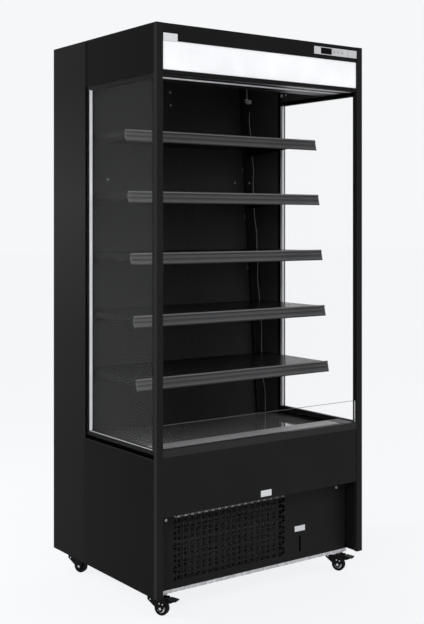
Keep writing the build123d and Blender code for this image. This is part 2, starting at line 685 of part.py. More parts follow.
def controller():
    """Bezel, its blank end cover, the display window and the body behind the fascia."""
    x0, z0 = control_corner()
    length, height, thickness = BEZEL
    y0, y1 = HEADER_FACE - thickness, HEADER_FACE
    bezel = block(x0, x0 + length, y0, y1, z0, z0 + height)
    middle = z0 + height / 2
    window_x = x0 + DISPLAY_INSET
    window = block(window_x, window_x + DISPLAY[0], y0 + thickness / 4, y1, middle - DISPLAY[1] / 2, middle + DISPLAY[1] / 2)
    bezel -= block(window_x, window_x + DISPLAY[0], y0 - 1, y1 + 1, middle - DISPLAY[1] / 2, middle + DISPLAY[1] / 2)
    body_length, body_height, body_depth = CONTROL_BODY
    body_x, body_z = x0 + margin_x(), z0 + margin_z()
    body = block(body_x, body_x + body_length, y1, y1 + body_depth, body_z, body_z + body_height)
    for x, z in key_places():
        half_x, half_z = KEY_SIZE[0] / 2 + FACE_GAP, KEY_SIZE[1] / 2 + FACE_GAP
        bezel -= block(x - half_x, x + half_x, y0 - 1, y1 + 1, z - half_z, z + half_z)
        body -= block(x - half_x, x + half_x, y1 - 1, y0 + KEY_DEPTH + KEY_TRAVEL + FACE_GAP, z - half_z, z + half_z)
    cover = block(x0 + length, x0 + length + END_COVER, y0, y1, z0, z0 + height)
    return group([bezel + body, window, cover])


def keys():
    nodes = {}
    y0 = HEADER_FACE - BEZEL[2]
    for name, (x, z) in zip(KEY_NAMES, key_places()):
        key = block(x - KEY_SIZE[0] / 2, x + KEY_SIZE[0] / 2, y0, y0 + KEY_DEPTH, z - KEY_SIZE[1] / 2, z + KEY_SIZE[1] / 2)
        nodes[f"controller_{name}"] = fillet(key.edges().filter_by(Axis.Y), KEY_SIZE[0] / 4)
    return nodes


# ---------------------------------------------------------------- cavity
def tub():
    """Foamed tub under the deck: floor, front wall and two side walls."""
    y0, y1 = FRONT + POST_DEPTH, REAR_WALL_FACE
    outer = block(-INNER, INNER, y0, y1, TUB_BOTTOM, DECK_TOP - SHEET)
    outer -= block(-INNER + TUB_SIDE, INNER - TUB_SIDE, y0 + TUB_FRONT, y1 + 1, TUB_BOTTOM + TUB_FLOOR, DECK_TOP + 1)
    outer += block(-INNER, INNER, y0, y0 + TUB_FRONT, DECK_TOP - SHEET, TUB_TOP)
    for x, y in pipe_passages():
        outer -= rod(2 * TUBE_RADIUS, (x, y, TUB_BOTTOM - 1), (x, y, TUB_BOTTOM + TUB_FLOOR + 1))
    return outer


def deck_nose():
    """Grey front strip that holds the riser glass in a slot."""
    y0, y1 = FRONT + SHEET, FRONT + SHEET + NOSE_DEPTH
    top = TUB_TOP + NOSE_HEIGHT
    strip = block(-BETWEEN_POSTS, BETWEEN_POSTS, y0, y1, TUB_TOP, top)
    slot = FRONT + RISER_SETBACK
    return strip - block(-BETWEEN_POSTS - 1, BETWEEN_POSTS + 1, slot, slot + RISER_PANE, top - NOSE_SLOT, top + 1)


def return_grille():
    """Slotted cover over the return air shaft, with a front and a rear foot."""
    y0 = FRONT + SHEET + NOSE_DEPTH
    y1 = y0 + RETURN_DEPTH
    path = [(y1, DECK_TOP - SHEET), (y1, RETURN_TOP), (y0, RETURN_TOP), (y0, TUB_TOP)]
    cover = extrude_x(ribbon(path, SHEET), -INNER, INNER)
    width, length = RETURN_SLOT
    count = int((2 * INNER - 4 * RETURN_PITCH) / RETURN_PITCH)
    step_y = RETURN_DEPTH / RETURN_ROWS
    centres = [((i - (count - 1) / 2) * RETURN_PITCH, y0 + (j + 0.5) * step_y)
               for i in range(count) for j in range(RETURN_ROWS)]
    holes = Sketch() + [Pos(x, y) * Rectangle(width, length) for x, y in centres]
    return cover - extrude(Plane.XY.offset(RETURN_TOP - 2 * SHEET) * holes, 3 * SHEET)


def deck_tray():
    y0 = FRONT + SHEET + NOSE_DEPTH + RETURN_DEPTH
    return block(-INNER, INNER, y0, duct_face(DECK_TOP) + DUCT_SHEET, DECK_TOP - SHEET, DECK_TOP)


def duct_panel():
    """Slanted inner back, from the deck to the ceiling."""
    head, foot = duct_face(CEILING), duct_face(DECK_TOP)
    outline = [(foot, DECK_TOP), (foot + DUCT_SHEET, DECK_TOP), (head + DUCT_SHEET, CEILING), (head, CEILING)]
    return extrude_x(outline, -INNER, INNER)


def upright():
    """Left slotted upright, on the front of the duct panel."""
    x = -HALF + UPRIGHT_CENTRE
    width, depth = UPRIGHT
    t = SHEET
    z0, z1 = DECK_TOP, CEILING
    outer = [(duct_face(z0) - depth, z0), (duct_face(z0), z0), (duct_face(z1), z1), (duct_face(z1) - depth, z1)]
    inner = [(duct_face(z0) - depth + t, z0 - 1), (duct_face(z0) + 1, z0 - 1), (duct_face(z1) + 1, z1 + 1),
             (duct_face(z1) - depth + t, z1 + 1)]
    channel = extrude_x(outer, x - width / 2, x + width / 2)
    channel -= extrude_x(inner, x - width / 2 + t, x + width / 2 - t)
    slot_x, slot_z = UPRIGHT_SLOT
    for z in slot_heights():
        face = duct_face(z) - depth
        channel -= block(x - slot_x / 2, x + slot_x / 2, face - 3, face + 2 * t, z - slot_z / 2, z + slot_z / 2)
    return channel


def slot_heights():
    """Middles of the upright's slots: SLOTS_PER_SHELF of them between one shelf and the next."""
    first = SHELF_LOWEST - TRAY_HEIGHT / 2
    below = int((first - DECK_TOP) / SLOT_PITCH) - 1
    above = int((CEILING - first) / SLOT_PITCH) - 1
    return [first + i * SLOT_PITCH for i in range(-below, above + 1)]


def shelf_front(top):
    """Front edge of a shelf whose top is at this height."""
    return duct_face(top) - SHELF_REACH


def shelf_tray(top):
    """Inverted pressed tray, open underneath."""
    x = INNER - SHELF_SIDE_GAP
    y0 = shelf_front(top)
    y1 = duct_face(top - TRAY_HEIGHT) - UPRIGHT[1] - 2 * FACE_GAP
    t = SHEET
    tray = block(-x, x, y0, y1, top - TRAY_HEIGHT, top)
    return tray - block(-x + t, x - t, y0 + t, y1 - t, top - TRAY_HEIGHT - 1, top - t)


def shelf_bracket(top):
    """Left cantilever bracket under a tray, hooked into two slots of the upright."""
    x = -HALF + UPRIGHT_CENTRE
    upper = top - SHEET
    y0 = shelf_front(top) + BRACKET_SETBACK
    y1 = duct_face(top - TRAY_HEIGHT) - UPRIGHT[1] - 2 * FACE_GAP - SHEET
    low = top - TRAY_HEIGHT
    foot = top - BRACKET_REAR
    rest = duct_face(foot) - UPRIGHT[1] - FACE_GAP
    outline = [(y0, upper), (y1, upper), (y1, low), (rest, low), (rest, foot), (y0, upper - BRACKET_FRONT)]
    bracket = extrude_x(outline, x - BRACKET / 2, x + BRACKET / 2)
    slot = UPRIGHT_SLOT[1]
    for z in (top - TRAY_HEIGHT / 2 - SLOT_PITCH,):
        face = duct_face(z) - UPRIGHT[1]
        bracket += block(x - BRACKET / 2, x + BRACKET / 2, rest - 2, face + HOOK, z - slot / 2 + 2, z + slot / 2 - 2)
    return bracket


def price_strip(top):
    """Leaning label rail with two ribs; its upper edge hooks over the tray."""
    height, t = STRIP
    y = shelf_front(top)
    slope = STRIP_LEAN / height

    def at(drop, out):
        return (y - drop * slope - out, top - drop)

    ribs = []
    for share in (0.33, 0.67):
        drop = height * share
        ribs += [at(drop - 2, t), at(drop - 1, t + STRIP_RIB), at(drop + 1, t + STRIP_RIB), at(drop + 2, t)]
    outline = [(y, top), at(0, t), at(1, t + STRIP_RIB), at(4, t + STRIP_RIB), at(5, t)] + ribs
    outline += [at(height - 3, t), at(height - 2, t + STRIP_RIB), at(height, t + STRIP_RIB), at(height, 0)]
    outline += [(y, top - TRAY_HEIGHT), (y, top - SHEET)]
    x = INNER - SHELF_SIDE_GAP + STRIP_OVERHANG
    return extrude_x(outline, -x, x)


def temperature_probe():
    """White clip on the duct panel with two prongs, and its lead up to the ceiling."""
    x = HALF - PROBE_SIDE
    z = CEILING - PROBE_DROP
    half = PROBE_CLIP / 2
    back = duct_face(z - half)
    front = back - UPRIGHT[1] - 2 * PROBE_PRONG - FACE_GAP
    clip = block(x - half, x + half, front, back, z - half, z + half)
    for drop, radius in ((-half / 2, PROBE_PRONG), (half / 2, PROBE_PRONG * 0.8)):
        clip += rod(radius, (x, front + radius, z - drop), (x - PROBE_REACH, front, z - drop + half / 4))
    lead = rod(PROBE_LEAD, (x, duct_face(z + half) - PROBE_LEAD - FACE_GAP, z + half),
               (x, duct_face(CEILING) - PROBE_LEAD - FACE_GAP, CEILING - FACE_GAP))
    return group([clip, lead])


def cavity():
    brackets = [piece for top in SHELF_TOPS for piece in both_sides(shelf_bracket(top))]
    return {
        "tub": tub(),
        "deck_nose": deck_nose(),
        "return_grille": return_grille(),
        "deck_tray": deck_tray(),
        "duct_panel": duct_panel(),
        "shelf_uprights": group(both_sides(upright())),
        "shelf_trays": group([shelf_tray(top) for top in SHELF_TOPS]),
        "shelf_brackets": group(brackets),
        "price_strips": group([price_strip(top) for top in SHELF_TOPS]),
        "temperature_probe": temperature_probe(),
    }


# ---------------------------------------------------------------- refrigeration
SCREW_SHANK = 2.0
SCREW_HEAD = 5.0


def axial_fan(radius, hub_radius, depth, blades, shaft):
    """Fan wheel about the Y axis: a bored hub and pitched blades."""
    hub = rod(hub_radius, (0, -depth / 2, 0), (0, depth / 2, 0))
    wheel_body = hub
    reach = radius - hub_radius / 2
    for i in range(blades):
        blade = Box(reach, FAN_RING, depth * 0.9)
        blade = Pos(hub_radius / 2 + reach / 2, 0, 0) * Rot(60, 0, 0) * blade
        wheel_body += Rot(0, i * 360 / blades, 0) * blade
    tips = rod(radius, (0, -depth, 0), (0, depth, 0))
    return (wheel_body & tips) - rod(shaft + SHAFT_GAP, (0, -FACE_GAP, 0), (0, depth, 0))


def fan_mount(radius, motor_radius, motor_length, shaft, depth):
    """Ring, three arms and motor that carry an axial fan; the fan's centre is at y = 0."""
    back = depth / 2 + FACE_GAP * 4
    ring_outer = radius + FAN_TIP_GAP + FAN_RING
    mount = rod(ring_outer, (0, -depth / 2, 0), (0, back + FAN_RING, 0))
    mount -= rod(radius + FAN_TIP_GAP, (0, -depth, 0), (0, back + 2 * FAN_RING, 0))
    for i in range(3):
        arm = block(0, radius + FAN_TIP_GAP + 1, back, back + FAN_RING, -motor_radius / 4, motor_radius / 4)
        mount += Rot(0, 90 + i * 120, 0) * arm
    mount += rod(motor_radius, (0, back, 0), (0, back + motor_length, 0))
    return mount + rod(shaft, (0, 0, 0), (0, back, 0))


def evaporator_fans():
    """Fan plate across the tub with two small fans."""
    depth, shaft = 22, 2.5
    y = FRONT + FAN_PLATE_BACK
    floor = TUB_BOTTOM + TUB_FLOOR
    z = (floor + DECK_TOP) / 2
    inner = INNER - TUB_SIDE
    plate = block(-inner, inner, y - depth / 2, y - depth / 2 + SHEET, floor, DECK_TOP - SHEET)
    nodes = {}
    for side, name in ((-1, "left"), (1, "right")):
        place = Pos(side * EVAP_FAN_CENTRE, y, z)
        plate -= place * rod(EVAP_FAN_RADIUS + FAN_TIP_GAP + FAN_RING / 2, (0, -depth, 0), (0, depth, 0))
        plate += place * fan_mount(EVAP_FAN_RADIUS, 22, 30, shaft, depth)
        nodes[f"evaporator_fan_{name}"] = place * axial_fan(EVAP_FAN_RADIUS, 18, depth, 5, shaft)
    nodes["evaporator_fan_plate"] = plate
    return nodes


def finned_block(x0, y0, z0, size, fin_pitch, tubes):
    """Plate fins on straight tubes, with an end plate each side."""
    length, depth, height = size
    count = int(length / fin_pitch)
    step = length / count
    fins = [block(x0 + i * step - FIN / 2, x0 + i * step + FIN / 2, y0, y0 + depth, z0, z0 + height) for i in range(count + 1)]
    rows, columns = tubes
    pipes = [rod(TUBE_RADIUS, (x0 - TUBE_STUB, y, z), (x0 + length + TUBE_STUB, y, z))
             for y in [y0 + (j + 0.5) * depth / columns for j in range(columns)]
             for z in [z0 + (i + 0.5) * height / rows for i in range(rows)]]
    return Part() + fins + pipes


def evaporator():
    z0 = TUB_BOTTOM + TUB_FLOOR
    size = (2 * evaporator_half(), *EVAPORATOR_BLOCK)
    return finned_block(-evaporator_half(), FRONT + EVAPORATOR_FRONT, z0, size, FIN_PITCH, (2, 4))


def evaporator_half():
    """Half the length of the evaporator's fin block."""
    return INNER - EVAPORATOR_GAP


def condenser():
    x0 = -HALF + CONDENSER_CENTRE - CONDENSER[0] / 2
    return finned_block(x0, FRONT + CONDENSER_FRONT, BODY_BOTTOM, CONDENSER, FIN_PITCH, (4, 2))


def condenser_fan_parts():
    """Shroud behind the condenser, its fan and motor."""
    depth, shaft = 34, 4
    x = -HALF + CONDENSER_CENTRE
    back = FRONT + CONDENSER_FRONT + CONDENSER[1]
    y = back + SHROUD_DEPTH + depth / 2
    z = BODY_BOTTOM + CONDENSER[2] / 2
    half = CONDENSER[0] / 2
    shroud = block(x - half, x + half, back, back + SHROUD_DEPTH + SHEET, BODY_BOTTOM, BODY_BOTTOM + CONDENSER[2])
    t = SHEET
    shroud -= block(x - half + t, x + half - t, back - 1, back + SHROUD_DEPTH, BODY_BOTTOM + t, BODY_BOTTOM + CONDENSER[2] - t)
    place = Pos(x, y, z)
    shroud -= place * rod(CONDENSER_FAN_RADIUS + FAN_TIP_GAP + FAN_RING / 2, (0, -depth, 0), (0, depth, 0))
    shroud += place * fan_mount(CONDENSER_FAN_RADIUS, 38, 60, shaft, depth)
    fan = place * axial_fan(CONDENSER_FAN_RADIUS, 30, depth, 5, shaft)
    return {"condenser_fan_shroud": shroud, "condenser_fan": fan}


def compressor():
    """Hermetic pot on four feet, with a suction and a discharge stub."""
    x, y = compressor_centre()
    r, z0 = COMPRESSOR_RADIUS, BODY_BOTTOM + COMPRESSOR_FEET
    z1 = z0 + COMPRESSOR_HEIGHT
    pot = rod(r, (x, y, z0), (x, y, z1))
    pot = fillet(pot.edges().filter_by(GeomType.CIRCLE), r / 3)
    pot += rod(r + 3, (x, y, z0 + COMPRESSOR_HEIGHT / 2 - 3), (x, y, z0 + COMPRESSOR_HEIGHT / 2 + 3))
    foot = r * 0.95
    pot += block(x - foot, x + foot, y - foot, y + foot, z0, z0 + 3)
    for i in (-1, 1):
        for j in (-1, 1):
            centre = (x + i * foot * 0.85, y + j * foot * 0.85)
            pot += rod(10, (*centre, BODY_BOTTOM), (*centre, z0))
    for (sx, sy, sz) in (discharge_port(), suction_port()):
        inner_x = sx + (2 * TUBE_RADIUS if sx < x else -2 * TUBE_RADIUS)
        pot += rod(TUBE_RADIUS, (sx, sy, sz), (inner_x, sy, sz))
    return pot


def compressor_centre():
    return INNER - COMPRESSOR_SIDE, BACK - COMPRESSOR_REAR


def discharge_port():
    """End of the compressor's discharge stub, on its left."""
    x, y = compressor_centre()
    return x - COMPRESSOR_RADIUS - PORT_STUB, y, BODY_BOTTOM + DISCHARGE_RISE


def suction_port():
    """End of the compressor's suction stub, on its right."""
    x, y = compressor_centre()
    return x + COMPRESSOR_RADIUS + PORT_STUB, y, BODY_BOTTOM + SUCTION_RISE


def condenser_end(row):
    """Right end of a condenser tube in the rear column."""
    x = -HALF + CONDENSER_CENTRE + CONDENSER[0] / 2 + TUBE_STUB
    y = FRONT + CONDENSER_FRONT + CONDENSER[1] * 0.75
    return x, y, BODY_BOTTOM + (row + 0.5) * CONDENSER[2] / 4


def evaporator_end(side, column):
    """End of a lower evaporator tube."""
    depth, height = EVAPORATOR_BLOCK
    y = FRONT + EVAPORATOR_FRONT + (column + 0.5) * depth / 4
    z = TUB_BOTTOM + TUB_FLOOR + height / 4
    return side * (evaporator_half() + TUBE_STUB), y, z


def pipe_passages():
    """Where the two pipes pass through the tub's floor, (x, y)."""
    liquid = evaporator_end(1, 0)
    suction = evaporator_end(1, 3)
    return [(liquid[0] + 3 * PIPE_BEND, liquid[1]), (suction[0] + 3 * PIPE_BEND, suction[1])]


PIPE_BEND = 14


def pipe(points):
    """Copper pipe through the given corners, with equal bends."""
    path = FilletPolyline(*points, radius=PIPE_BEND)
    start = Plane(origin=path @ 0, z_dir=path % 0)
    return sweep(start * Circle(TUBE_RADIUS), path)


def refrigerant_pipes():
    """Discharge, liquid and suction pipes, each face to face with the stubs it joins."""
    dx, dy, dz = discharge_port()
    cx, cy, cz = condenser_end(3)
    turn = (cx + dx) / 2
    discharge = pipe([(dx, dy, dz), (turn, dy, dz), (turn, cy, dz), (turn, cy, cz), (cx, cy, cz)])
    lx, ly, lz = condenser_end(0)
    ex, ey, ez = evaporator_end(1, 0)
    (px, py), (qx, qy) = pipe_passages()
    down = lx + 2 * PIPE_BEND
    liquid = pipe([(lx, ly, lz), (down, ly, lz), (down, py, lz), (px, py, lz), (px, py, ez), (ex, ey, ez)])
    sx, sy, sz = suction_port()
    fx, fy, fz = evaporator_end(1, 3)
    suction = pipe([(sx, sy, sz), (qx, sy, sz), (qx, qy, sz), (qx, qy, fz), (fx, fy, fz)])
    return group([discharge, liquid, suction])


def electrical_box():
    length, depth, height = ELECTRICAL_BOX
    x0 = INNER - ELECTRICAL_SIDE - length
    y0 = FRONT + ELECTRICAL_FRONT
    box = block(x0, x0 + length, y0, y0 + depth, BODY_BOTTOM, BODY_BOTTOM + height)
    box = fillet(box.edges().filter_by(Axis.Z), 4)
    lid = block(x0 - 2, x0 + length + 2, y0 - 2, y0 + depth + 2, BODY_BOTTOM + height, BODY_BOTTOM + height + 4)
    return box + lid


# ---------------------------------------------------------------- screws
def grille_screws():
    z = FRONT_PANEL_BOTTOM - SCREW_DROP
    x = INNER - GRILLE_SIDE_GAP - SCREW_INSET
    return [(-x, z), (x, z)]


def screws():
    """Castor bolts and the two screws of the service grille."""
    pieces = []
    under = CASTOR_HEIGHT - PLATE_THICKNESS
    for name in CASTOR_SWING:
        for x, y in plate_bolts(name):
            head = Pos(x, y, under - BOLT_HEAD) * extrude(RegularPolygon(2 * BOLT_RADIUS, 6), BOLT_HEAD)
            pieces.append(head + rod(BOLT_RADIUS, (x, y, under), (x, y, CASTOR_HEIGHT + 3 * HEAVY_SHEET)))
    for x, z in grille_screws():
        head = rod(SCREW_HEAD, (x, GRILLE_FACE - 2, z), (x, GRILLE_FACE, z))
        pieces.append(head + rod(SCREW_SHANK, (x, GRILLE_FACE, z), (x, GRILLE_FACE + GRILLE_FLANGE / 2, z)))
    return group(pieces)


# ---------------------------------------------------------------- all nodes
def fridge():
    nodes = {}
    for section in (castors, shell, glazing, canopy, keys, cavity, evaporator_fans, condenser_fan_parts):
        nodes.update(section())
    nodes["controller"] = controller()
    nodes["evaporator"] = evaporator()
    nodes["condenser"] = condenser()
    nodes["compressor"] = compressor()
    nodes["refrigerant_pipes"] = refrigerant_pipes()
    nodes["electrical_box"] = electrical_box()
    nodes["screws"] = screws()
    return nodes


os.makedirs("parts", exist_ok=True)
for node, shape in fridge().items():
    export_step(shape, f"parts/{node}.step")
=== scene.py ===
"""Dresses the CAD frame of an open multideck display fridge and sets it on a pale stage.

Lengths are in metres. X runs to the right seen from the front, Y to the back, Z up from the floor.
"""
import json
import math

import bmesh
import bpy
from mathutils import Matrix, Vector


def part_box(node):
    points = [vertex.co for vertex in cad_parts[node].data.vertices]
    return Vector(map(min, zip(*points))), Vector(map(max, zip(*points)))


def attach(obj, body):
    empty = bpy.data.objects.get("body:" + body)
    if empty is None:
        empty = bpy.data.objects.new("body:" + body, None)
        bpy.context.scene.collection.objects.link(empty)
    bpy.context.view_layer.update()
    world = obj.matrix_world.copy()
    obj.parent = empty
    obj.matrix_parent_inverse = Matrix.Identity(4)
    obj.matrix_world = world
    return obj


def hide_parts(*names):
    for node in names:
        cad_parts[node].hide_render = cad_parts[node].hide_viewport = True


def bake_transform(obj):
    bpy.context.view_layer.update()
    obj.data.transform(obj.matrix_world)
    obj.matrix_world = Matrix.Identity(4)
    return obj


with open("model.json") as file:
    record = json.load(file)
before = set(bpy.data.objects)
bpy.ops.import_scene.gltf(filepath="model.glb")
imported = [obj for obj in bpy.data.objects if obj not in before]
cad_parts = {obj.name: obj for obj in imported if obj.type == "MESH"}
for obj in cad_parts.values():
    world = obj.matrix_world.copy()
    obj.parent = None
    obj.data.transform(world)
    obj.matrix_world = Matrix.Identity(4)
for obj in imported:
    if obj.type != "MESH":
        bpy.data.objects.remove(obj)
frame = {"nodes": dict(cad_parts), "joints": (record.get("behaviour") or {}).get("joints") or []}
nodes = frame["nodes"]
joints = {j["name"]: j for j in frame["joints"]}
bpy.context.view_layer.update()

# ---------------------------------------------------------------- places, read from the frame

posts_lo, posts_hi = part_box("front_posts")
surround_lo, surround_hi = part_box("glass_surrounds")
duct_lo, duct_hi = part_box("duct_panel")
outlet_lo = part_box("air_honeycomb")[0]
deck_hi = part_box("deck_tray")[1]

FRONT = posts_lo.y                    # front face of the posts
HALF = posts_hi.x                     # outer face of the side walls
INNER = deck_hi.x                     # inner face of the side walls
SILL = surround_lo.z + 0.003          # between the solid side panels and the glazing
RAIL_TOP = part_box("price_strips")[1].z
SHELVES, SHELF_PITCH = 5, 0.216
RAIL_HEIGHT = 0.040
SETBACK = 0.116                       # how far the inner back slants to the rear over its height
UPRIGHT_DEPTH = 0.0142                # front of a shelf upright from the inner back
SINK = 0.0001                         # how far a stuck-on plate reaches into its face
CASTORS = ("front_left", "front_right", "rear_left", "rear_right")


def duct_y(z):
    """Front face of the slanted inner back at height z."""
    return duct_lo.y + (z - duct_lo.z) / (duct_hi.z - duct_lo.z) * SETBACK


DUCT_LEAN = math.atan2(SETBACK, duct_hi.z - duct_lo.z)
DUCT_NORMAL = Vector((0, -math.cos(DUCT_LEAN), math.sin(DUCT_LEAN)))


# ---------------------------------------------------------------- shader helpers

def maths(t, op, a, b=None):
    """A maths node's result. a and b are numbers or sockets."""
    n = t.nodes.new("ShaderNodeMath")
    n.operation = op
    for i, v in enumerate((a, b)):
        if v is None:
            continue
        if isinstance(v, (int, float)):
            n.inputs[i].default_value = v
        else:
            t.links.new(v, n.inputs[i])
    return n.outputs[0]


def axes(t):
    """The X, Y and Z sockets of the object's own coordinates."""
    co = t.nodes.new("ShaderNodeTexCoord")
    sep = t.nodes.new("ShaderNodeSeparateXYZ")
    t.links.new(co.outputs["Object"], sep.inputs["Vector"])
    return sep.outputs


def texture(t, kind, scale, detail=2.0, rough=0.5, stretch=(1, 1, 1)):
    """A procedural texture on the object's own coordinates."""
    co = t.nodes.new("ShaderNodeTexCoord")
    mp = t.nodes.new("ShaderNodeMapping")
    mp.inputs["Scale"].default_value = stretch
    t.links.new(co.outputs["Object"], mp.inputs["Vector"])
    n = t.nodes.new(kind)
    n.inputs["Scale"].default_value = scale
    if kind == "ShaderNodeTexNoise":
        n.inputs["Detail"].default_value = detail
        n.inputs["Roughness"].default_value = rough
    t.links.new(mp.outputs["Vector"], n.inputs["Vector"])
    return n


def ramp(t, source, stops):
    """A colour ramp over (position, colour) stops."""
    r = t.nodes.new("ShaderNodeValToRGB")
    e = r.color_ramp.elements
    while len(e) < len(stops):
        e.new(0.5)
    for i, (position, colour) in enumerate(stops):
        e[i].position = position
        e[i].color = (*colour, 1)
    t.links.new(source, r.inputs["Fac"])
    return r.outputs["Color"]


def even(v):
    return (v, v, v)


def grey(v):
    """A grey that leans a little to blue."""
    return (v, v, v * 1.02)


def greys(*stops):
    return [(position, grey(v)) for position, v in stops]


def scaled(colour, k):
    return tuple(v * k for v in colour)


def bump(t, p, source, strength, distance):
    b = t.nodes.new("ShaderNodeBump")
    b.inputs["Strength"].default_value = strength
    b.inputs["Distance"].default_value = distance
    t.links.new(source, b.inputs["Height"])
    t.links.new(b.outputs["Normal"], p.inputs["Normal"])


def tint(m, share, colour):
    """Lays a colour over a material's base colour. share and colour are values or sockets."""
    t = m.node_tree
    base = t.nodes["Principled BSDF"].inputs["Base Color"]
    mix = t.nodes.new("ShaderNodeMix")
    mix.data_type = "RGBA"
    if isinstance(share, float):
        mix.inputs[0].default_value = share
    else:
        t.links.new(share, mix.inputs[0])
    t.links.new(base.links[0].from_socket, mix.inputs[6])
    if isinstance(colour, tuple):
        mix.inputs[7].default_value = (*colour, 1)
    else:
        t.links.new(colour, mix.inputs[7])
    t.links.new(mix.outputs[2], base)


def within(t, **ranges):
    """1 where each coordinate lies in its (low, high) range. wide is the distance from x = 0."""
    place = axes(t)
    inside = None
    for name, (low, high) in ranges.items():
        value = maths(t, "ABSOLUTE", place[0]) if name == "wide" else place["xyz".index(name)]
        for op, limit in (("GREATER_THAN", low), ("LESS_THAN", high)):
            if limit is None:
                continue
            hit = maths(t, op, value, limit)
            inside = hit if inside is None else maths(t, "MULTIPLY", inside, hit)
    return inside


def patch(m, colour, **ranges):
    """Another colour over the part of a surface that lies within the ranges."""
    tint(m, within(m.node_tree, **ranges), colour)


# ---------------------------------------------------------------- kinds of material

def material(name):
    m = bpy.data.materials.new(name)
    m.use_nodes = True
    t = m.node_tree
    return m, t, t.nodes["Principled BSDF"]


def powder(name, colour, rough=0.42, spec=0.12, grain=0.25):
    """Powder coat: fine orange peel, a little tone and gloss variation."""
    m, t, p = material(name)
    big = texture(t, "ShaderNodeTexNoise", 3.1, 3, 0.55)
    fine = texture(t, "ShaderNodeTexNoise", 900, 2, 0.5)
    tone = ramp(t, big.outputs["Fac"], [(0.3, scaled(colour, 0.88)), (0.7, scaled(colour, 1.12))])
    t.links.new(tone, p.inputs["Base Color"])
    gloss = ramp(t, big.outputs["Fac"], [(0.25, even(rough - 0.03)), (0.75, even(rough + 0.04))])
    t.links.new(gloss, p.inputs["Roughness"])
    bump(t, p, fine.outputs["Fac"], grain, 0.0002)
    p.inputs["Specular IOR Level"].default_value = spec
    return m


def plastic(name, colour, rough=0.35, spec=0.4, grain=0.15):
    """Moulded plastic: a fine grain and a little tone variation."""
    m, t, p = material(name)
    fine = texture(t, "ShaderNodeTexNoise", 1400, 2, 0.5)
    big = texture(t, "ShaderNodeTexNoise", 9, 2, 0.5)
    tone = ramp(t, big.outputs["Fac"], [(0.3, scaled(colour, 0.95)), (0.7, scaled(colour, 1.05))])
    t.links.new(tone, p.inputs["Base Color"])
    p.inputs["Roughness"].default_value = rough
    p.inputs["Specular IOR Level"].default_value = spec
    bump(t, p, fine.outputs["Fac"], grain, 0.0001)
    return m


def metal(name, colour, rough, brushed=(1, 1, 1), scale=120, metallic=1.0):
    """Bare metal: streaks of tone and gloss along the brushing."""
    m, t, p = material(name)
    n = texture(t, "ShaderNodeTexNoise", scale, 3, 0.6, brushed)
    tone = ramp(t, n.outputs["Fac"], [(0.25, scaled(colour, 0.88)), (0.75, scaled(colour, 1.08))])
    t.links.new(tone, p.inputs["Base Color"])
    gloss = ramp(t, n.outputs["Fac"], [(0.25, even(rough - 0.05)), (0.75, even(rough + 0.08))])
    t.links.new(gloss, p.inputs["Roughness"])
    p.inputs["Metallic"].default_value = metallic
    bump(t, p, n.outputs["Fac"], 0.2, 0.0001)
    return m


def galvanised(name, light, dark, rough=0.42):
    """Hot-dip zinc: spangles of differing tone."""
    m, t, p = material(name)
    spangle = texture(t, "ShaderNodeTexVoronoi", 120)
    sep = t.nodes.new("ShaderNodeSeparateColor")
    t.links.new(spangle.outputs["Color"], sep.inputs["Color"])
    tone = ramp(t, sep.outputs["Red"], greys((0.0, dark), (1.0, light)))
    t.links.new(tone, p.inputs["Base Color"])
    gloss = ramp(t, sep.outputs["Green"], [(0.0, even(rough - 0.06)), (1.0, even(rough + 0.08))])
    t.links.new(gloss, p.inputs["Roughness"])
    p.inputs["Metallic"].default_value = 0.85
    fine = texture(t, "ShaderNodeTexNoise", 350, 2)
    bump(t, p, fine.outputs["Fac"], 0.2, 0.0001)
    return m


def clear(name, colour, alpha):
    """Float glass as a thin pale veil, which is a painted reflection of the bright surroundings, faintly
    uneven in upright streaks.
    """
    m, t, p = material(name)
    veil_streaks = texture(t, "ShaderNodeTexNoise", 4.0, 4, 0.6, (1, 1, 0.35))
    veil = ramp(t, veil_streaks.outputs["Fac"], [(0.3, even(alpha * 0.95)), (0.7, even(alpha * 1.05))])
    t.links.new(veil, p.inputs["Alpha"])
    tone = ramp(t, veil_streaks.outputs["Fac"], [(0.3, scaled(colour, 0.97)), (0.7, colour)])
    t.links.new(tone, p.inputs["Base Color"])
    p.inputs["Roughness"].default_value = 0.03
    p.inputs["Specular IOR Level"].default_value = 0.5
    return m


def weave(name):
    """Coated blind cloth: threads crossing at right angles."""
    m, t, p = material(name)
    warp = texture(t, "ShaderNodeTexWave", 900, stretch=(1, 0, 0))
    weft = texture(t, "ShaderNodeTexWave", 900, stretch=(0, 0, 1))
    weft.bands_direction = "Z"
    both = maths(t, "MULTIPLY", warp.outputs["Fac"], weft.outputs["Fac"])
    t.links.new(ramp(t, both, greys((0.0, 0.46), (0.6, 0.62))), p.inputs["Base Color"])
    p.inputs["Roughness"].default_value = 0.65
    p.inputs["Metallic"].default_value = 0.2
    bump(t, p, both, 0.3, 0.0002)
    return m


def zinc_strip_painted_light(name):
    """Zinc strip behind the service grille. Its pale tone is painted light that shows through the holes, and
    it is darker where the machine compartment shades it.
    """
    m, t, p = material(name)
    across = maths(t, "ADD", axes(t)[0], 0.4)
    shade = ramp(t, across, greys((0.0, 0.30), (0.36, 0.20), (0.60, 0.02)))
    t.links.new(shade, p.inputs["Base Color"])
    p.inputs["Roughness"].default_value = 0.4
    return m
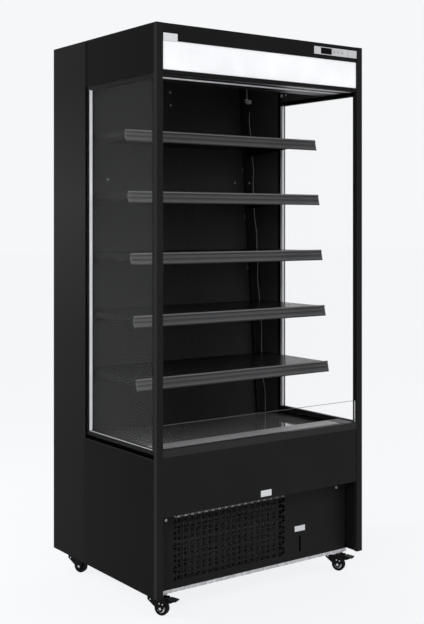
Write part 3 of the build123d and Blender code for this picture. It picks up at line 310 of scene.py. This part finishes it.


# ---------------------------------------------------------------- the materials

# the pale tone of the glass veil, a painted reflection
GLASS_TONE = (0.86, 0.87, 0.87)
M = {
    "black": powder("black_powder_coat", (0.0105, 0.0106, 0.0110), spec=0.05),
    "black_header": powder("black_powder_coat_header", (0.0100, 0.0101, 0.0104), spec=0.02),
    "black_post": powder("black_powder_coat_posts", (0.0105, 0.0106, 0.0110), spec=0.05),
    "black_side": powder("black_powder_coat_sides", (0.0082, 0.0083, 0.0086), 0.36, 0.02),
    "black_cheek": powder("black_powder_coat_cheeks", (0.0033, 0.0034, 0.0036), 0.36, 0.02),
    "black_in": powder("black_powder_coat_inside", (0.0115, 0.0115, 0.0120), 0.38, 0.16),
    "back_panel": powder("black_duct_panel", (0.0270, 0.0270, 0.0276), 0.42, 0.06),
    "nose": powder("dark_grey_nose", (0.019, 0.019, 0.0195), 0.4, 0.1),
    "grille_grey": powder("light_grey_return_grille", (0.42, 0.42, 0.425), 0.5, 0.2),
    "deck": powder("gloss_deck", (0.140, 0.140, 0.142), 0.07, 1.0, grain=0.0),
    "shelf": powder("gloss_shelf", (0.014, 0.014, 0.0145), 0.22, 0.03, grain=0.0),
    "pot": powder("compressor_black", (0.008, 0.008, 0.0085), 0.3, 0.4),
    "condenser": powder("condenser_black", (0.090, 0.090, 0.092), 0.5, 0.1),
    "fork": powder("fork_black", (0.0035, 0.0035, 0.0038), 0.42, 0.08),
    "end_cover": powder("grey_end_cover", (0.085, 0.085, 0.087), 0.45, 0.1),
    "galvanised": galvanised("galvanised_steel", 0.62, 0.40),
    "zinc": metal("bright_zinc", (0.60, 0.61, 0.63), 0.32),
    "zinc_strip_painted_light": zinc_strip_painted_light("stiffener_zinc_painted_light"),
    "screw": metal("screw_zinc", (0.30, 0.30, 0.31), 0.4, metallic=0.5),
    "aluminium": metal("mill_aluminium", (0.86, 0.86, 0.87), 0.45, (1, 1, 8), 60, metallic=0.0),
    "bar": metal("blind_bar_aluminium", (0.55, 0.55, 0.56), 0.35, (0.2, 1, 1), 150),
    "fins": metal("evaporator_fins", (0.80, 0.80, 0.81), 0.4, scale=150),
    "copper": metal("copper_pipe", (0.72, 0.40, 0.27), 0.28, scale=90),
    "trim": plastic("black_trim", (0.0022, 0.0022, 0.0024), 0.45, 0.05),
    "gasket": plastic("black_glazing_rail", (0.0007, 0.0007, 0.0008), 0.5, 0.0),
    "diffuser": plastic("opal_diffuser", (0.93, 0.935, 0.945), 0.4, 0.2, 0.05),
    "led": plastic("lamp_cover", (0.90, 0.90, 0.88), 0.4, 0.3, 0.05),
    "rail": plastic("price_rail_pvc", (0.026, 0.026, 0.027), 0.38, 0.15, 0.05),
    # the bead's pale grey is a painted highlight along the top of the rail
    "bead": plastic("price_rail_bead", (0.125, 0.125, 0.127), 0.35, 0.2, 0.05),
    "silver": plastic("silver_panel", (0.53, 0.53, 0.54), 0.4, 0.3, 0.08),
    "key": plastic("key_grey", (0.48, 0.48, 0.49), 0.45, 0.3, 0.08),
    "window": plastic("display_window", (0.0030, 0.0030, 0.0035), 0.25, 0.03, 0.0),
    "plate": plastic("blank_plate", (0.66, 0.67, 0.68), 0.5, 0.25, 0.05),
    "white": plastic("white_plastic", (0.85, 0.85, 0.84), 0.45, 0.3, 0.05),
    "comb": plastic("comb_white", (0.80, 0.80, 0.81), 0.5, 0.2, 0.05),
    "tube": plastic("roller_tube", (0.35, 0.35, 0.355), 0.5, 0.2),
    "fan": plastic("fan_black", (0.012, 0.012, 0.012), 0.4, 0.3),
    "box": plastic("box_grey", (0.05, 0.05, 0.051), 0.5, 0.1),
    "brake": plastic("brake_black", (0.0030, 0.0030, 0.0032), 0.45, 0.08),
    "tyre": plastic("tyre_black", (0.0035, 0.0035, 0.0038), 0.6, 0.08),
    "hub": plastic("wheel_grey", (0.72, 0.72, 0.73), 0.45, 0.35),
    "plug": plastic("plug_grey", (0.065, 0.065, 0.066), 0.45, 0.1, 0.05),
    "silicone": plastic("silicone_bead", (0.55, 0.55, 0.545), 0.45, 0.3, 0.05),
    "edge": plastic("ground_glass_edge", (0.11, 0.115, 0.113), 0.5, 0.05, 0.1),
    "edge_side": plastic("ground_glass_side_edge", (0.55, 0.57, 0.56), 0.5, 0.2, 0.1),
    "glass": clear("float_glass", GLASS_TONE, 0.0056),
    "riser": clear("riser_float_glass", GLASS_TONE, 0.0015),
    "cloth": weave("blind_weave"),
}
JOINT_BLACK = even(0.0005)


def post_edge_painted_highlight():
    """A painted highlight along the folded front edge of each post's outer side."""
    fold = 0.0016
    patch(M["black_post"], (0.028, 0.028, 0.029), wide=(HALF - fold, None), y=(None, FRONT + fold))


def side_wall_sheen_light_and_joints():
    """Outside, a painted sheen that changes with height, lightest at about 1.4 m up. Inside, painted light:
    lighter behind the glass.
    """
    t = M["black_side"].node_tree
    tall = 2.0
    up = maths(t, "DIVIDE", axes(t)[2], tall)
    # painted sheen: darker near the floor and at the top, lightest at about 1.4 m
    tint(M["black_side"], 0.8, ramp(t, up, greys(
        (0.05, 0.0040), (0.22, 0.0050), (0.45, 0.0085), (0.70, 0.0185), (0.92, 0.0080))))
    within_walls = (None, INNER + 0.0005)
    panel_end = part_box("lower_side_panels")[1].y
    canopy_foot = surround_hi.z - 0.024
    # painted light on the inner faces behind the glass; below the sill a plain dark
    for name in ("black_side", "black_cheek"):
        patch(M[name], (0.052, 0.052, 0.053), wide=within_walls, z=(SILL, None))
        patch(M[name], (0.0085, 0.0085, 0.0088), wide=within_walls, z=(None, SILL))
        # the channel of the rear gasket, and the joint between the solid panels
        patch(M[name], JOINT_BLACK, y=(surround_hi.y - 0.0165, surround_hi.y + 0.0005),
              z=(canopy_foot, None))
        patch(M[name], JOINT_BLACK, y=(panel_end - 0.0012, panel_end + 0.0006), z=(None, SILL))


def duct_seams():
    """Two faint upright seams of the inner back."""
    half_gap = 0.0008
    for x in (0.077, 0.116):
        patch(M["back_panel"], even(0.0100), x=(x - half_gap, x + half_gap))


def return_grille_shade():
    """The return grille darkens towards the left, where less light falls in."""
    t = M["grille_grey"].node_tree
    across = maths(t, "ADD", axes(t)[0], 0.5)
    tint(M["grille_grey"], 0.9, ramp(t, across, greys(
        (0.06, 0.20), (0.25, 0.20), (0.47, 0.30), (0.70, 0.46), (0.90, 0.46))))


def shelf_ends():
    """The end faces of the shelves are nearly black, in the shade beside the glass."""
    patch(M["shelf"], even(0.0015), wide=(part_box("shelf_trays")[1].x - 0.001, None))


def glazing():
    """Bright aluminium shows only past the printed border and the sealant of the side glass."""
    m = M["aluminium"]
    t = m.node_tree
    t.nodes["Principled BSDF"].inputs["Specular IOR Level"].default_value = 0.05
    spacer_lo, spacer_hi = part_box("glass_spacers")
    bar = spacer_hi.y - 0.016                            # front face of the rear spacer bar
    bar_face = {"y": (bar - 0.0005, bar + 0.0007), "z": (spacer_lo.z + 0.0170, spacer_hi.z - 0.0130)}
    bare = (
        within(t, **bar_face, x=(None, -0.4495)),
        within(t, **bar_face, x=(0.0, 0.4522)),
        within(t, **bar_face, x=(0.4578, None)),
        within(t, y=(bar + 0.0001, bar + 0.012), z=(spacer_lo.z + 0.0160, spacer_hi.z - 0.0160),
               wide=(None, 0.4455)),
        within(t, y=(-0.3300, bar), z=(spacer_lo.z + 0.0155, spacer_lo.z + 0.0165), wide=(0.4580, None)),
    )
    bright = bare[0]
    for part in bare[1:]:
        bright = maths(t, "MAXIMUM", bright, part)
    tint(m, maths(t, "SUBTRACT", 1.0, bright), (0.0020, 0.0020, 0.0022))
    # a painted highlight along the lower edge of the rail under the glass
    patch(M["gasket"], (0.030, 0.030, 0.031), z=(None, surround_lo.z + 0.0016))


def price_rail_painted_shading():
    """Painted light and shade over the rail's profile, from its top edge down: lip, ledge, label channel and
    foot.
    """
    t = M["rail"].node_tree
    below_top = maths(t, "MODULO", maths(t, "SUBTRACT", RAIL_TOP, axes(t)[2]), SHELF_PITCH)
    drop = maths(t, "DIVIDE", below_top, RAIL_HEIGHT)
    tint(M["rail"], 1.0, ramp(t, drop, greys(
        (0.00, 0.080), (0.05, 0.022), (0.13, 0.024), (0.17, 0.054), (0.38, 0.082),
        (0.43, 0.036), (0.54, 0.036), (0.58, 0.060), (0.80, 0.092), (0.89, 0.020))))


def air_outlet():
    """The honeycomb is in the shade of the lip in front, and dim behind its lit strip."""
    patch(M["comb"], (0.030, 0.030, 0.031), y=(None, outlet_lo.y + 0.027))
    patch(M["comb"], (0.160, 0.160, 0.163), y=(outlet_lo.y + 0.056, None))


def base_corners():
    """Above the posts' feet, the ends of the base frame are in the shade behind the posts."""
    frame_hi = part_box("base_frame")[1]
    patch(M["galvanised"], even(0.004), wide=(frame_hi.x - 0.011, None), z=(posts_lo.z + 0.0012, None))


post_edge_painted_highlight()
side_wall_sheen_light_and_joints()
duct_seams()
return_grille_shade()
shelf_ends()
glazing()
price_rail_painted_shading()
air_outlet()
base_corners()

BY_NODE = {
    "air_honeycomb": "comb", "base_frame": "galvanised", "blind_bar": "bar", "blind_cloth": "comb",
    "blind_roller": "tube", "canopy_duct": "black_in", "canopy_lip": "black_header",
    "canopy_sides": "black_cheek", "canopy_top": "black_header", "castor_plates": "zinc",
    "compressor": "pot", "condenser": "condenser", "condenser_fan": "fan",
    "condenser_fan_shroud": "black", "controller": "silver", "controller_set_key": "key",
    "controller_up_key": "key", "controller_down_key": "key", "deck_nose": "nose", "deck_tray": "deck",
    "duct_panel": "back_panel", "electrical_box": "box", "evaporator": "fins",
    "evaporator_fan_left": "fan", "evaporator_fan_right": "fan", "evaporator_fan_plate": "galvanised",
    "front_panel": "black", "front_posts": "black_post", "glass_spacers": "aluminium",
    "glass_surrounds": "gasket", "grille_panel": "black", "header_band": "black_header",
    "header_lamp": "led", "light_panel": "diffuser", "lower_side_panels": "black_cheek",
    "price_strips": "rail", "rear_side_panels": "black_side", "rear_vent_panel": "black",
    "rear_wall": "black", "refrigerant_pipes": "copper", "return_grille": "grille_grey",
    "riser_glass": "riser", "screws": "screw", "shelf_brackets": "shelf", "shelf_trays": "shelf",
    "shelf_uprights": "black_in", "side_glass": "glass", "temperature_probe": "white", "tub": "black_in",
    "brake_pedal_front_left": "brake", "brake_pedal_front_right": "brake",
}
for corner in CASTORS:
    BY_NODE["castor_fork_" + corner] = "fork"
    BY_NODE["castor_wheel_" + corner] = "hub"
for node_name, node_object in nodes.items():
    node_object.data.materials.clear()
    node_object.data.materials.append(M[BY_NODE[node_name]])


# ---------------------------------------------------------------- building helpers

def turned(bm, profile, matrix, segments=32, closed=False):
    """Turns a profile of (radius, height) about the local Z of matrix."""
    rings = []
    for r, h in profile:
        if r < 1e-6:
            rings.append([bm.verts.new(matrix @ Vector((0, 0, h)))])
            continue
        ring = []
        for k in range(segments):
            a = 2 * math.pi * k / segments
            ring.append(bm.verts.new(matrix @ Vector((r * math.cos(a), r * math.sin(a), h))))
        rings.append(ring)
    for a, b in zip(rings, rings[1:] + ([rings[0]] if closed else [])):
        for k in range(segments):
            n = (k + 1) % segments
            if len(a) == 1 and len(b) == 1:
                continue
            if len(a) == 1:
                bm.faces.new((a[0], b[k], b[n]))
            elif len(b) == 1:
                bm.faces.new((a[k], a[n], b[0]))
            else:
                bm.faces.new((a[k], a[n], b[n], b[k]))


def block(bm, lo, hi, bevel=0.0, segments=1, matrix=None):
    """A box between two corners, with worn edges if bevel is given."""
    matrix = matrix or Matrix.Identity(4)
    box = bmesh.new()
    bmesh.ops.create_cube(box, size=1.0)
    size = Vector(hi) - Vector(lo)
    middle = (Vector(hi) + Vector(lo)) / 2
    for v in box.verts:
        v.co = Vector((v.co.x * size.x, v.co.y * size.y, v.co.z * size.z)) + middle
    if bevel:
        bmesh.ops.bevel(box, geom=list(box.edges), offset=bevel, segments=segments, profile=0.5,
                        affect="EDGES")
    for v in box.verts:
        v.co = matrix @ v.co
    mesh = bpy.data.meshes.new("block")
    box.to_mesh(mesh)
    box.free()
    bm.from_mesh(mesh)
    bpy.data.meshes.remove(mesh)


def at(origin, direction):
    """A frame at origin whose Z points along direction."""
    turn = Vector(direction).normalized().to_track_quat("Z", "Y").to_matrix().to_4x4()
    return Matrix.Translation(Vector(origin)) @ turn


def piece(name, bm, mat, body, smooth=35):
    """Turns a bmesh into a piece that rides on a body. Faces within smooth degrees shade smoothly."""
    bmesh.ops.recalc_face_normals(bm, faces=bm.faces)
    limit = math.radians(smooth)
    for e in bm.edges:
        e.smooth = len(e.link_faces) == 2 and e.calc_face_angle(0.0) < limit
    for f in bm.faces:
        f.smooth = True
    mesh = bpy.data.meshes.new(name)
    bm.to_mesh(mesh)
    bm.free()
    mesh.materials.append(mat)
    o = bpy.data.objects.new(name, mesh)
    bpy.context.scene.collection.objects.link(o)
    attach(o, body)
    return o


def plates(name, boxes, mat, bevel=0.0003, segments=1):
    """A piece of the cabinet made of boxes with worn edges, each given by its two corners."""
    bm = bmesh.new()
    for lo, hi in boxes:
        block(bm, lo, hi, bevel, segments)
    piece(name, bm, mat, "cabinet")


def on_face(face, proud, x, z, sink=SINK):
    """The corners of a plate over ranges of x and z, proud of a face at that y."""
    return (x[0], face - proud, z[0]), (x[1], face + sink, z[1])


def pan_head(bm, recess, place, radius, height):
    """A pan-head screw, with its cross slot as a thin dark inlay in recess."""
    turned(bm, [(radius, 0.0), (radius, height * 0.35), (radius * 0.92, height * 0.7),
                (radius * 0.7, height * 0.93), (radius * 0.4, height), (0.0, height)], place, 24)
    narrow, long = radius * 0.13, radius * 0.55
    for a, b in ((long, narrow), (narrow, long)):
        block(recess, (-a, -b, height * 0.9), (a, b, height * 1.04), matrix=place)


def hex_head(bm, place, radius, height):
    """A hexagon nut on its washer."""
    washer = [(radius * 1.25, 0.0), (radius * 1.25, height * 0.2), (radius * 0.98, height * 0.25)]
    turned(bm, washer, place, 24)
    nut = [(radius, height * 0.2), (radius, height * 0.9), (radius * 0.88, height), (0.0, height)]
    turned(bm, nut, place, 6)


# ---------------------------------------------------------------- castors

TYRE_R, TYRE_HALF = 0.025, 0.010      # outer radius and half the width of a tyre
DISC_R, DISC_RIM = 0.0148, 0.0091     # radius of the disc in it, and half its width at the rim
HUB_HALF, WEB_HALF = 0.0098, 0.0072   # half the width of the hub, and of the web between the spokes
BORE_R = 0.00306
SPOKES, SPOKE_HALF = 5, 0.0009
FORK_HALF = 0.0140                    # outer face of a fork's cheek from its middle
NUT_SEAT = 0.0155                     # outer end of the axle from its middle


def tyre_profile():
    """Half the section from the bead to the groove in the middle of the tread, then mirrored."""
    half = [(0.0150, 0.0090), (0.0156, 0.0098), (0.0170, TYRE_HALF), (0.0222, TYRE_HALF),
            (0.0238, 0.0094), (0.0247, 0.0082), (TYRE_R, 0.0066), (TYRE_R, 0.0012), (0.0246, 0.0005)]
    seat = [(0.0144, -0.0078), (0.0144, 0.0078)]
    return half + [(r, -h) for r, h in reversed(half)] + seat


def disc_profile():
    """Section of the spoked disc, from the bore over the hub and the web to the rim and back."""
    half = [(BORE_R, HUB_HALF), (0.0058, HUB_HALF), (0.0064, 0.0092), (0.0066, 0.0078),
            (0.0074, WEB_HALF), (0.0128, WEB_HALF), (0.0134, 0.0078), (0.0138, 0.0088),
            (DISC_R, DISC_RIM)]
    return half + [(r, -h) for r, h in reversed(half)] + [(BORE_R, 0.0)]


def wheel(corner, wheel_frame):
    """Tyre and spoked disc, in place of the frame's plain wheel. The rear discs are black."""
    tyre = bmesh.new()
    turned(tyre, tyre_profile(), wheel_frame, 64, closed=True)
    t = piece("castor_tyre_" + corner, tyre, M["tyre"], "wheel_" + corner)
    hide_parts("castor_wheel_" + corner)
    disc = bmesh.new()
    turned(disc, disc_profile(), wheel_frame, 48, closed=True)
    for s in (-1, 1):
        inner, outer = sorted((s * 0.0070, s * 0.0088))
        for k in range(SPOKES):
            spoke = wheel_frame @ Matrix.Rotation(2 * math.pi * k / SPOKES, 4, "Z")
            block(disc, (0.0062, -SPOKE_HALF, inner), (0.0138, SPOKE_HALF, outer), 0.0003, matrix=spoke)
    finish = M["tyre"] if corner.startswith("rear") else M["hub"]
    piece("castor_disc_" + corner, disc, finish, "wheel_" + corner)


def fork_fastenings(corner, centre, axis, swivel):
    """Axle nuts, the fork's rivets and, on the braked castors, those of the brake's spring."""
    trail = Vector((centre.x - swivel.x, centre.y - swivel.y, 0)).normalized()
    rivets = [(-0.0165, 0.053)]       # along the trail from the kingpin, and height
    if corner.startswith("front"):
        rivets += [(0.0300, 0.0400), (0.0180, 0.0420)]
    bm = bmesh.new()
    for s in (-1, 1):
        hex_head(bm, at(centre + axis * (s * NUT_SEAT), axis * s), 0.0036, 0.0022)
        for along, z in rivets:
            p = Vector((swivel.x, swivel.y, z)) + trail * along + axis * (s * FORK_HALF)
            turned(bm, [(0.0024, 0.0), (0.0023, 0.0006), (0.0016, 0.0012), (0.0, 0.0014)],
                   at(p, axis * s), 20)
    piece("castor_fastenings_" + corner, bm, M["zinc"], "swivel_" + corner)


for corner in CASTORS:
    roll = joints["roll_" + corner]
    hub_centre, hub_axis = Vector(roll["pos_m"]), Vector(roll["axis"])
    wheel(corner, at(hub_centre, hub_axis))
    fork_fastenings(corner, hub_centre, hub_axis, Vector(joints["swivel_" + corner]["pos_m"]))

# ---------------------------------------------------------------- night blind

cloth_lo, cloth_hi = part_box("blind_cloth")
CLOTH_Y = (cloth_lo.y + cloth_hi.y) / 2
CLOTH_W = cloth_hi.x - cloth_lo.x
CLOTH_L = cloth_hi.z - cloth_lo.z
RIPPLES = ((0.00012, 61.0, 0.0), (0.0001, 23.0, 1.3))      # depth, waves over the width, phase


def cloth_mesh(name, cols=96, rows=24):
    """The free stretch of cloth between the roller and the bar, with faint upright ripples."""
    bm = bmesh.new()
    grid = []
    for j in range(rows + 1):
        z = cloth_hi.z - CLOTH_L * j / rows
        line = []
        for i in range(cols + 1):
            u = i / cols
            y = CLOTH_Y + sum(depth * math.sin(u * waves + phase) for depth, waves, phase in RIPPLES)
            line.append(bm.verts.new((cloth_lo.x + CLOTH_W * u, y, z)))
        grid.append(line)
    for upper, lower in zip(grid, grid[1:]):
        for i in range(cols):
            bm.faces.new((upper[i], lower[i], lower[i + 1], upper[i + 1]))
    for f in bm.faces:
        f.smooth = True
    mesh = bpy.data.meshes.new(name)
    bm.to_mesh(mesh)
    bm.free()
    mesh.materials.append(M["cloth"])
    return mesh


cloth = bpy.data.objects.new("night_blind_cloth", cloth_mesh("night_blind_cloth"))
bpy.context.scene.collection.objects.link(cloth)
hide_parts("blind_cloth")
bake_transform(cloth)


# ---------------------------------------------------------------- blank plates and the controller

def blank_plates():
    """Bare plates on the front panel, the service grille and the header."""
    panel_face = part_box("front_panel")[0].y
    grille_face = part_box("grille_panel")[0].y
    plates("blank_plates_front", [
        on_face(panel_face, 0.0008, x=(-0.0240, 0.0240), z=(0.3590, 0.3810)),
        on_face(grille_face, 0.0012, x=(0.1820, 0.2310), z=(0.1880, 0.2080)),
    ], M["plate"])
    header_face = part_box("header_band")[0].y
    header_plate = on_face(header_face, 0.0011, x=(-0.4360, -0.3790), z=(1.9320, 1.9570))
    plates("blank_plate_header", [header_plate], M["plate"])


def controller_face():
    """The dark display window in its rim, and the joint of the blank end cover."""
    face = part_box("controller")[0].y
    (x0, x1), (z0, z1) = (0.2562, 0.3120), (1.9492, 1.9748)    # outside of the rim
    rim, play = 0.0009, 0.0001
    inset = rim + play
    window = on_face(face, 0.0001, (x0 + inset, x1 - inset), (z0 + inset, z1 - inset), sink=0.0012)
    plates("controller_display", [window], M["window"], 0.0004, 2)
    sides = (((x0, x1), (z0, z0 + rim)), ((x0, x1), (z1 - rim, z1)),
             ((x0, x0 + rim), (z0, z1)), ((x1 - rim, x1), (z0, z1)))
    plates("controller_display_rim", [on_face(face, 0.0002, x, z, sink=0.0010) for x, z in sides],
           M["silver"], 0.0002)
    joint = on_face(face, 0.0002, x=(0.3914, 0.3924), z=(1.9480, 1.9760), sink=0.0006)
    plates("controller_cover_joint", [joint], M["trim"], 0.0002)


def key_mark(name):
    """A ring on the set key, and an arrow on the up and the down key."""
    reach, inner, thick = 0.0026, 0.0017, 0.0001
    lo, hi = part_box("controller_" + name)
    x, y, z = (lo.x + hi.x) / 2, lo.y, (lo.z + hi.z) / 2
    bm = bmesh.new()
    if name == "set_key":
        ring = [(reach, 0.0), (reach, thick), (inner, thick), (inner, 0.0)]
        turned(bm, ring, at((x, y, z), (0, -1, 0)), 24, closed=True)
    else:
        up = 1 if name == "up_key" else -1
        corners = [(x - reach, z - 0.0018 * up), (x + reach, z - 0.0018 * up), (x, z + reach * up)]
        back = [bm.verts.new((px, y, pz)) for px, pz in corners]
        front = [bm.verts.new((px, y - thick, pz)) for px, pz in corners]
        bm.faces.new(back)
        bm.faces.new(front)
        for k in range(3):
            n = (k + 1) % 3
            bm.faces.new((back[k], back[n], front[n], front[k]))
    piece("controller_" + name + "_mark", bm, M["window"], name)


blank_plates()
controller_face()
for key in ("set_key", "up_key", "down_key"):
    key_mark(key)


# ---------------------------------------------------------------- trim of the grille, the probe and the back

def grille_stiffener_painted_light():
    """The zinc strip that shows through the service grille's top row of holes, as painted light seen through
    them.
    """
    strip = ((-0.3640, -0.2977, 0.3238), (0.2420, -0.2967, 0.3380))
    plates("grille_stiffener_painted_light", [strip], M["zinc_strip_painted_light"])


def probe_clip():
    """Two prongs of the clip that holds the temperature probe near the ceiling."""
    clip_z = duct_hi.z - 0.063
    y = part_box("temperature_probe")[0].y + 0.0030
    bm = bmesh.new()
    for drop, r, rise in ((0.0035, 0.0030, 0.010), (-0.0035, 0.0024, -0.002)):
        root = at((0.4190, y, clip_z + drop), (-1.0, -0.05, rise / 0.026))
        turned(bm, [(0.0, 0.0), (r, 0.0), (r, 0.016), (r * 0.75, 0.0185), (0.0, 0.0195)], root, 20)
    piece("probe_clip_prongs", bm, M["white"], "cabinet")


def duct_fastenings():
    """Screw heads on the inner back and on an upright, and plugs in the inner back."""
    heads, slots = bmesh.new(), bmesh.new()
    on_panel = ((0.030, 1.856), (0.030, 1.803), (-0.279, 1.495), (0.336, 1.495))
    places = [(x, duct_y(z), z) for x, z in on_panel]
    places.append((0.402, duct_y(1.495) - UPRIGHT_DEPTH, 1.495))
    for place in places:
        pan_head(heads, slots, at(place, DUCT_NORMAL), 0.0042, 0.0022)
    piece("duct_panel_screws", heads, M["zinc"], "cabinet")
    piece("duct_panel_screw_slots", slots, M["trim"], "cabinet")
    plugs = bmesh.new()
    dome = [(0.0115, 0.0), (0.0115, 0.0010), (0.0100, 0.0026), (0.0060, 0.0030), (0.0, 0.0032)]
    for z in (1.550, 1.352, 1.141):
        turned(plugs, dome, at((0.3840, duct_y(z), z), DUCT_NORMAL), 32)
    piece("duct_panel_plugs", plugs, M["plug"], "cabinet")


def cheek_caps():
    """White caps over the screws inside the right canopy cheek."""
    bm = bmesh.new()
    for y, r in ((0.0890, 0.0065), (0.0620, 0.0035)):
        cap = [(r, 0.0), (r, r * 0.25), (r * 0.8, r * 0.5), (0.0, r * 0.6)]
        turned(bm, cap, at((INNER, y, 1.8500), (-1, 0, 0)), 28)
    piece("cheek_cap_plugs", bm, M["white"], "cabinet")


grille_stiffener_painted_light()
probe_clip()
duct_fastenings()
cheek_caps()


# ---------------------------------------------------------------- edges and beads

def rail_beads():
    """A rounded bead along the top of each price rail, tapering off at its right end. Its pale grey is a
    painted highlight.
    """
    rails = [v.co.copy() for v in nodes["price_strips"].data.vertices]
    reach = max(v.x for v in rails)
    foot = -0.0024                    # underside of the bead from the rail's top edge
    section = ((-0.0006, foot), (-0.0019, -0.0012), (-0.0023, 0.0006), (-0.0017, 0.0024),
               (-0.0002, 0.0034), (0.0014, 0.0028), (0.0022, 0.0012), (0.0022, foot))
    stations = ((-reach, 1.0), (reach - 0.0035, 1.0), (reach - 0.0012, 0.82), (reach - 0.0001, 0.4))
    bm = bmesh.new()
    for k in reversed(range(SHELVES)):
        top = RAIL_TOP - SHELF_PITCH * k
        face = min(v.y for v in rails if abs(v.z - top) < 0.0015)
        rows = []
        for x, height in stations:
            rows.append([bm.verts.new((x, face + y, top + foot + (z - foot) * height)) for y, z in section])
        for a, b in zip(rows, rows[1:]):
            for i in range(len(section)):
                n = (i + 1) % len(section)
                bm.faces.new((a[i], a[n], b[n], b[i]))
        bm.faces.new(rows[0])
        bm.faces.new(rows[-1])
    piece("price_rail_beads", bm, M["bead"], "cabinet", smooth=50)


def riser_edges():
    """The ground top edge and ends of the riser glass, a film's breadth outside it."""
    lo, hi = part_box("riser_glass")
    film = 0.00008
    edge = hi.z - 0.0007
    nose_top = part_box("deck_nose")[1].z + 0.0002
    plates("riser_glass_top_edge",
           [((lo.x - film, lo.y - film, edge), (hi.x + film, hi.y + film, hi.z + film))],
           M["edge"])
    plates("riser_glass_side_edges",
           [((x0, lo.y - film, nose_top), (x1, hi.y + film, edge))
            for x0, x1 in ((lo.x - film, lo.x + 0.0012), (hi.x - 0.0012, hi.x + film))],
           M["edge_side"])


def grille_end_cover():
    """The blank right end of the return grille."""
    lo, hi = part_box("return_grille")
    cover = ((0.3850, lo.y, hi.z - 0.0010), (hi.x - 0.0002, hi.y, hi.z + 0.0008))
    plates("return_grille_end_cover", [cover], M["end_cover"], 0.0004)


def corner_bead(points=64):
    """The wavy sealing bead up the rear right corner of the cavity."""
    bead = bpy.data.curves.new("corner_sealing_bead", "CURVE")
    bead.dimensions = "3D"
    bead.bevel_depth = 0.0013
    bead.bevel_resolution = 3
    line = bead.splines.new("NURBS")
    line.points.add(points - 1)
    low, high = deck_hi.z + 0.0012, 1.800
    for k in range(points):
        z = low + (high - low) * k / (points - 1)
        from_wall = 0.0075 + 0.0030 * math.sin(z * 19.0) + 0.0018 * math.sin(z * 47.0 + 0.8)
        line.points[k].co = (INNER - from_wall, duct_y(z) - 0.0009, z, 1)
    line.order_u = 4
    line.use_endpoint_u = True
    line.resolution_u = 6
    bead_o = bpy.data.objects.new("corner_sealing_bead", bead)
    bpy.context.scene.collection.objects.link(bead_o)
    bead.materials.append(M["silicone"])
    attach(bead_o, "cabinet")


rail_beads()
riser_edges()
grille_end_cover()
corner_bead()


# ---------------------------------------------------------------- stage, light, camera

def seen_direct(t):
    """1 for camera, glossy and transmission rays, which meet the plain background."""
    ray = t.nodes.new("ShaderNodeLightPath").outputs
    seen = maths(t, "MAXIMUM", ray["Is Camera Ray"], ray["Is Glossy Ray"])
    return maths(t, "MAXIMUM", seen, ray["Is Transmission Ray"])


def mixed(t, share, plain, direct, output):
    """Sends the plain shader to the output, with the direct one laid over it by share."""
    mix = t.nodes.new("ShaderNodeMixShader")
    t.links.new(share, mix.inputs[0])
    t.links.new(plain.outputs[0], mix.inputs[1])
    t.links.new(direct.outputs[0], mix.inputs[2])
    t.links.new(mix.outputs[0], t.nodes.new(output).inputs[0])


def coloured(t, kind, colour):
    n = t.nodes.new(kind)
    n.inputs["Color"].default_value = (*colour, 1)
    return n


def studio_world():
    """Soft ambient light on the object, and a paler even background where the world is seen."""
    world = bpy.data.worlds.new("studio")
    bpy.context.scene.world = world
    world.use_nodes = True
    t = world.node_tree
    t.nodes.clear()
    ambient = coloured(t, "ShaderNodeBackground", (0.72, 0.725, 0.735))
    background = coloured(t, "ShaderNodeBackground", (0.9216, 0.9301, 0.9473))
    mixed(t, seen_direct(t), ambient, background, "ShaderNodeOutputWorld")


def pale_floor(half=40.0):
    """A matt floor that keeps the object's shadow and otherwise has the background's tone."""
    m = bpy.data.materials.new("pale_floor")
    m.use_nodes = True
    t = m.node_tree
    t.nodes.clear()
    matt = coloured(t, "ShaderNodeBsdfDiffuse", (0.90, 0.905, 0.92))
    plain = coloured(t, "ShaderNodeEmission", (0.955, 0.964, 0.982))
    share = maths(t, "MULTIPLY", seen_direct(t), 0.86)
    mixed(t, share, matt, plain, "ShaderNodeOutputMaterial")
    mesh = bpy.data.meshes.new("floor")
    corners = [(-half, -half, 0), (half, -half, 0), (half, half, 0), (-half, half, 0)]
    mesh.from_pydata(corners, [], [(0, 1, 2, 3)])
    floor = bpy.data.objects.new("floor", mesh)
    floor.data.materials.append(m)
    bpy.context.scene.collection.objects.link(floor)


def area(name, place, target, side, power):
    """A square lamp that lights the object and isn't seen, straight or in a reflection."""
    lamp = bpy.data.lights.new(name, "AREA")
    lamp.shape = "RECTANGLE"
    lamp.size, lamp.size_y, lamp.energy = side, side, power
    o = bpy.data.objects.new(name, lamp)
    o.location = place
    o.rotation_euler = (Vector(target) - Vector(place)).to_track_quat("-Z", "Y").to_euler()
    o.visible_glossy = False
    o.visible_camera = False
    bpy.context.scene.collection.objects.link(o)


def photo_camera():
    """The camera, level and shifted down, from the front left."""
    lens = bpy.data.cameras.new("camera")
    lens.sensor_fit = "VERTICAL"
    lens.sensor_height = 36
    lens.lens = 62.31
    lens.shift_y = -0.1423
    camera = bpy.data.objects.new("camera", lens)
    camera.location = (-2.3989, -3.3448, 1.326)
    camera.rotation_euler = (math.radians(90), 0, math.radians(-35.9))
    bpy.context.scene.collection.objects.link(camera)
    bpy.context.scene.camera = camera


studio_world()
pale_floor()
area("key_front_right", (2.6, -3.2, 2.9), (0, 0, 1.0), 1.6, 34)
area("fill_front_left", (-3.0, -2.4, 2.4), (0, 0, 1.0), 1.6, 32)
area("glow_back_left", (-2.3, 1.9, 1.45), (-0.46, 0.2, 1.35), 0.6, 55)
photo_camera()
bpy.context.scene.view_settings.view_transform = "Standard"
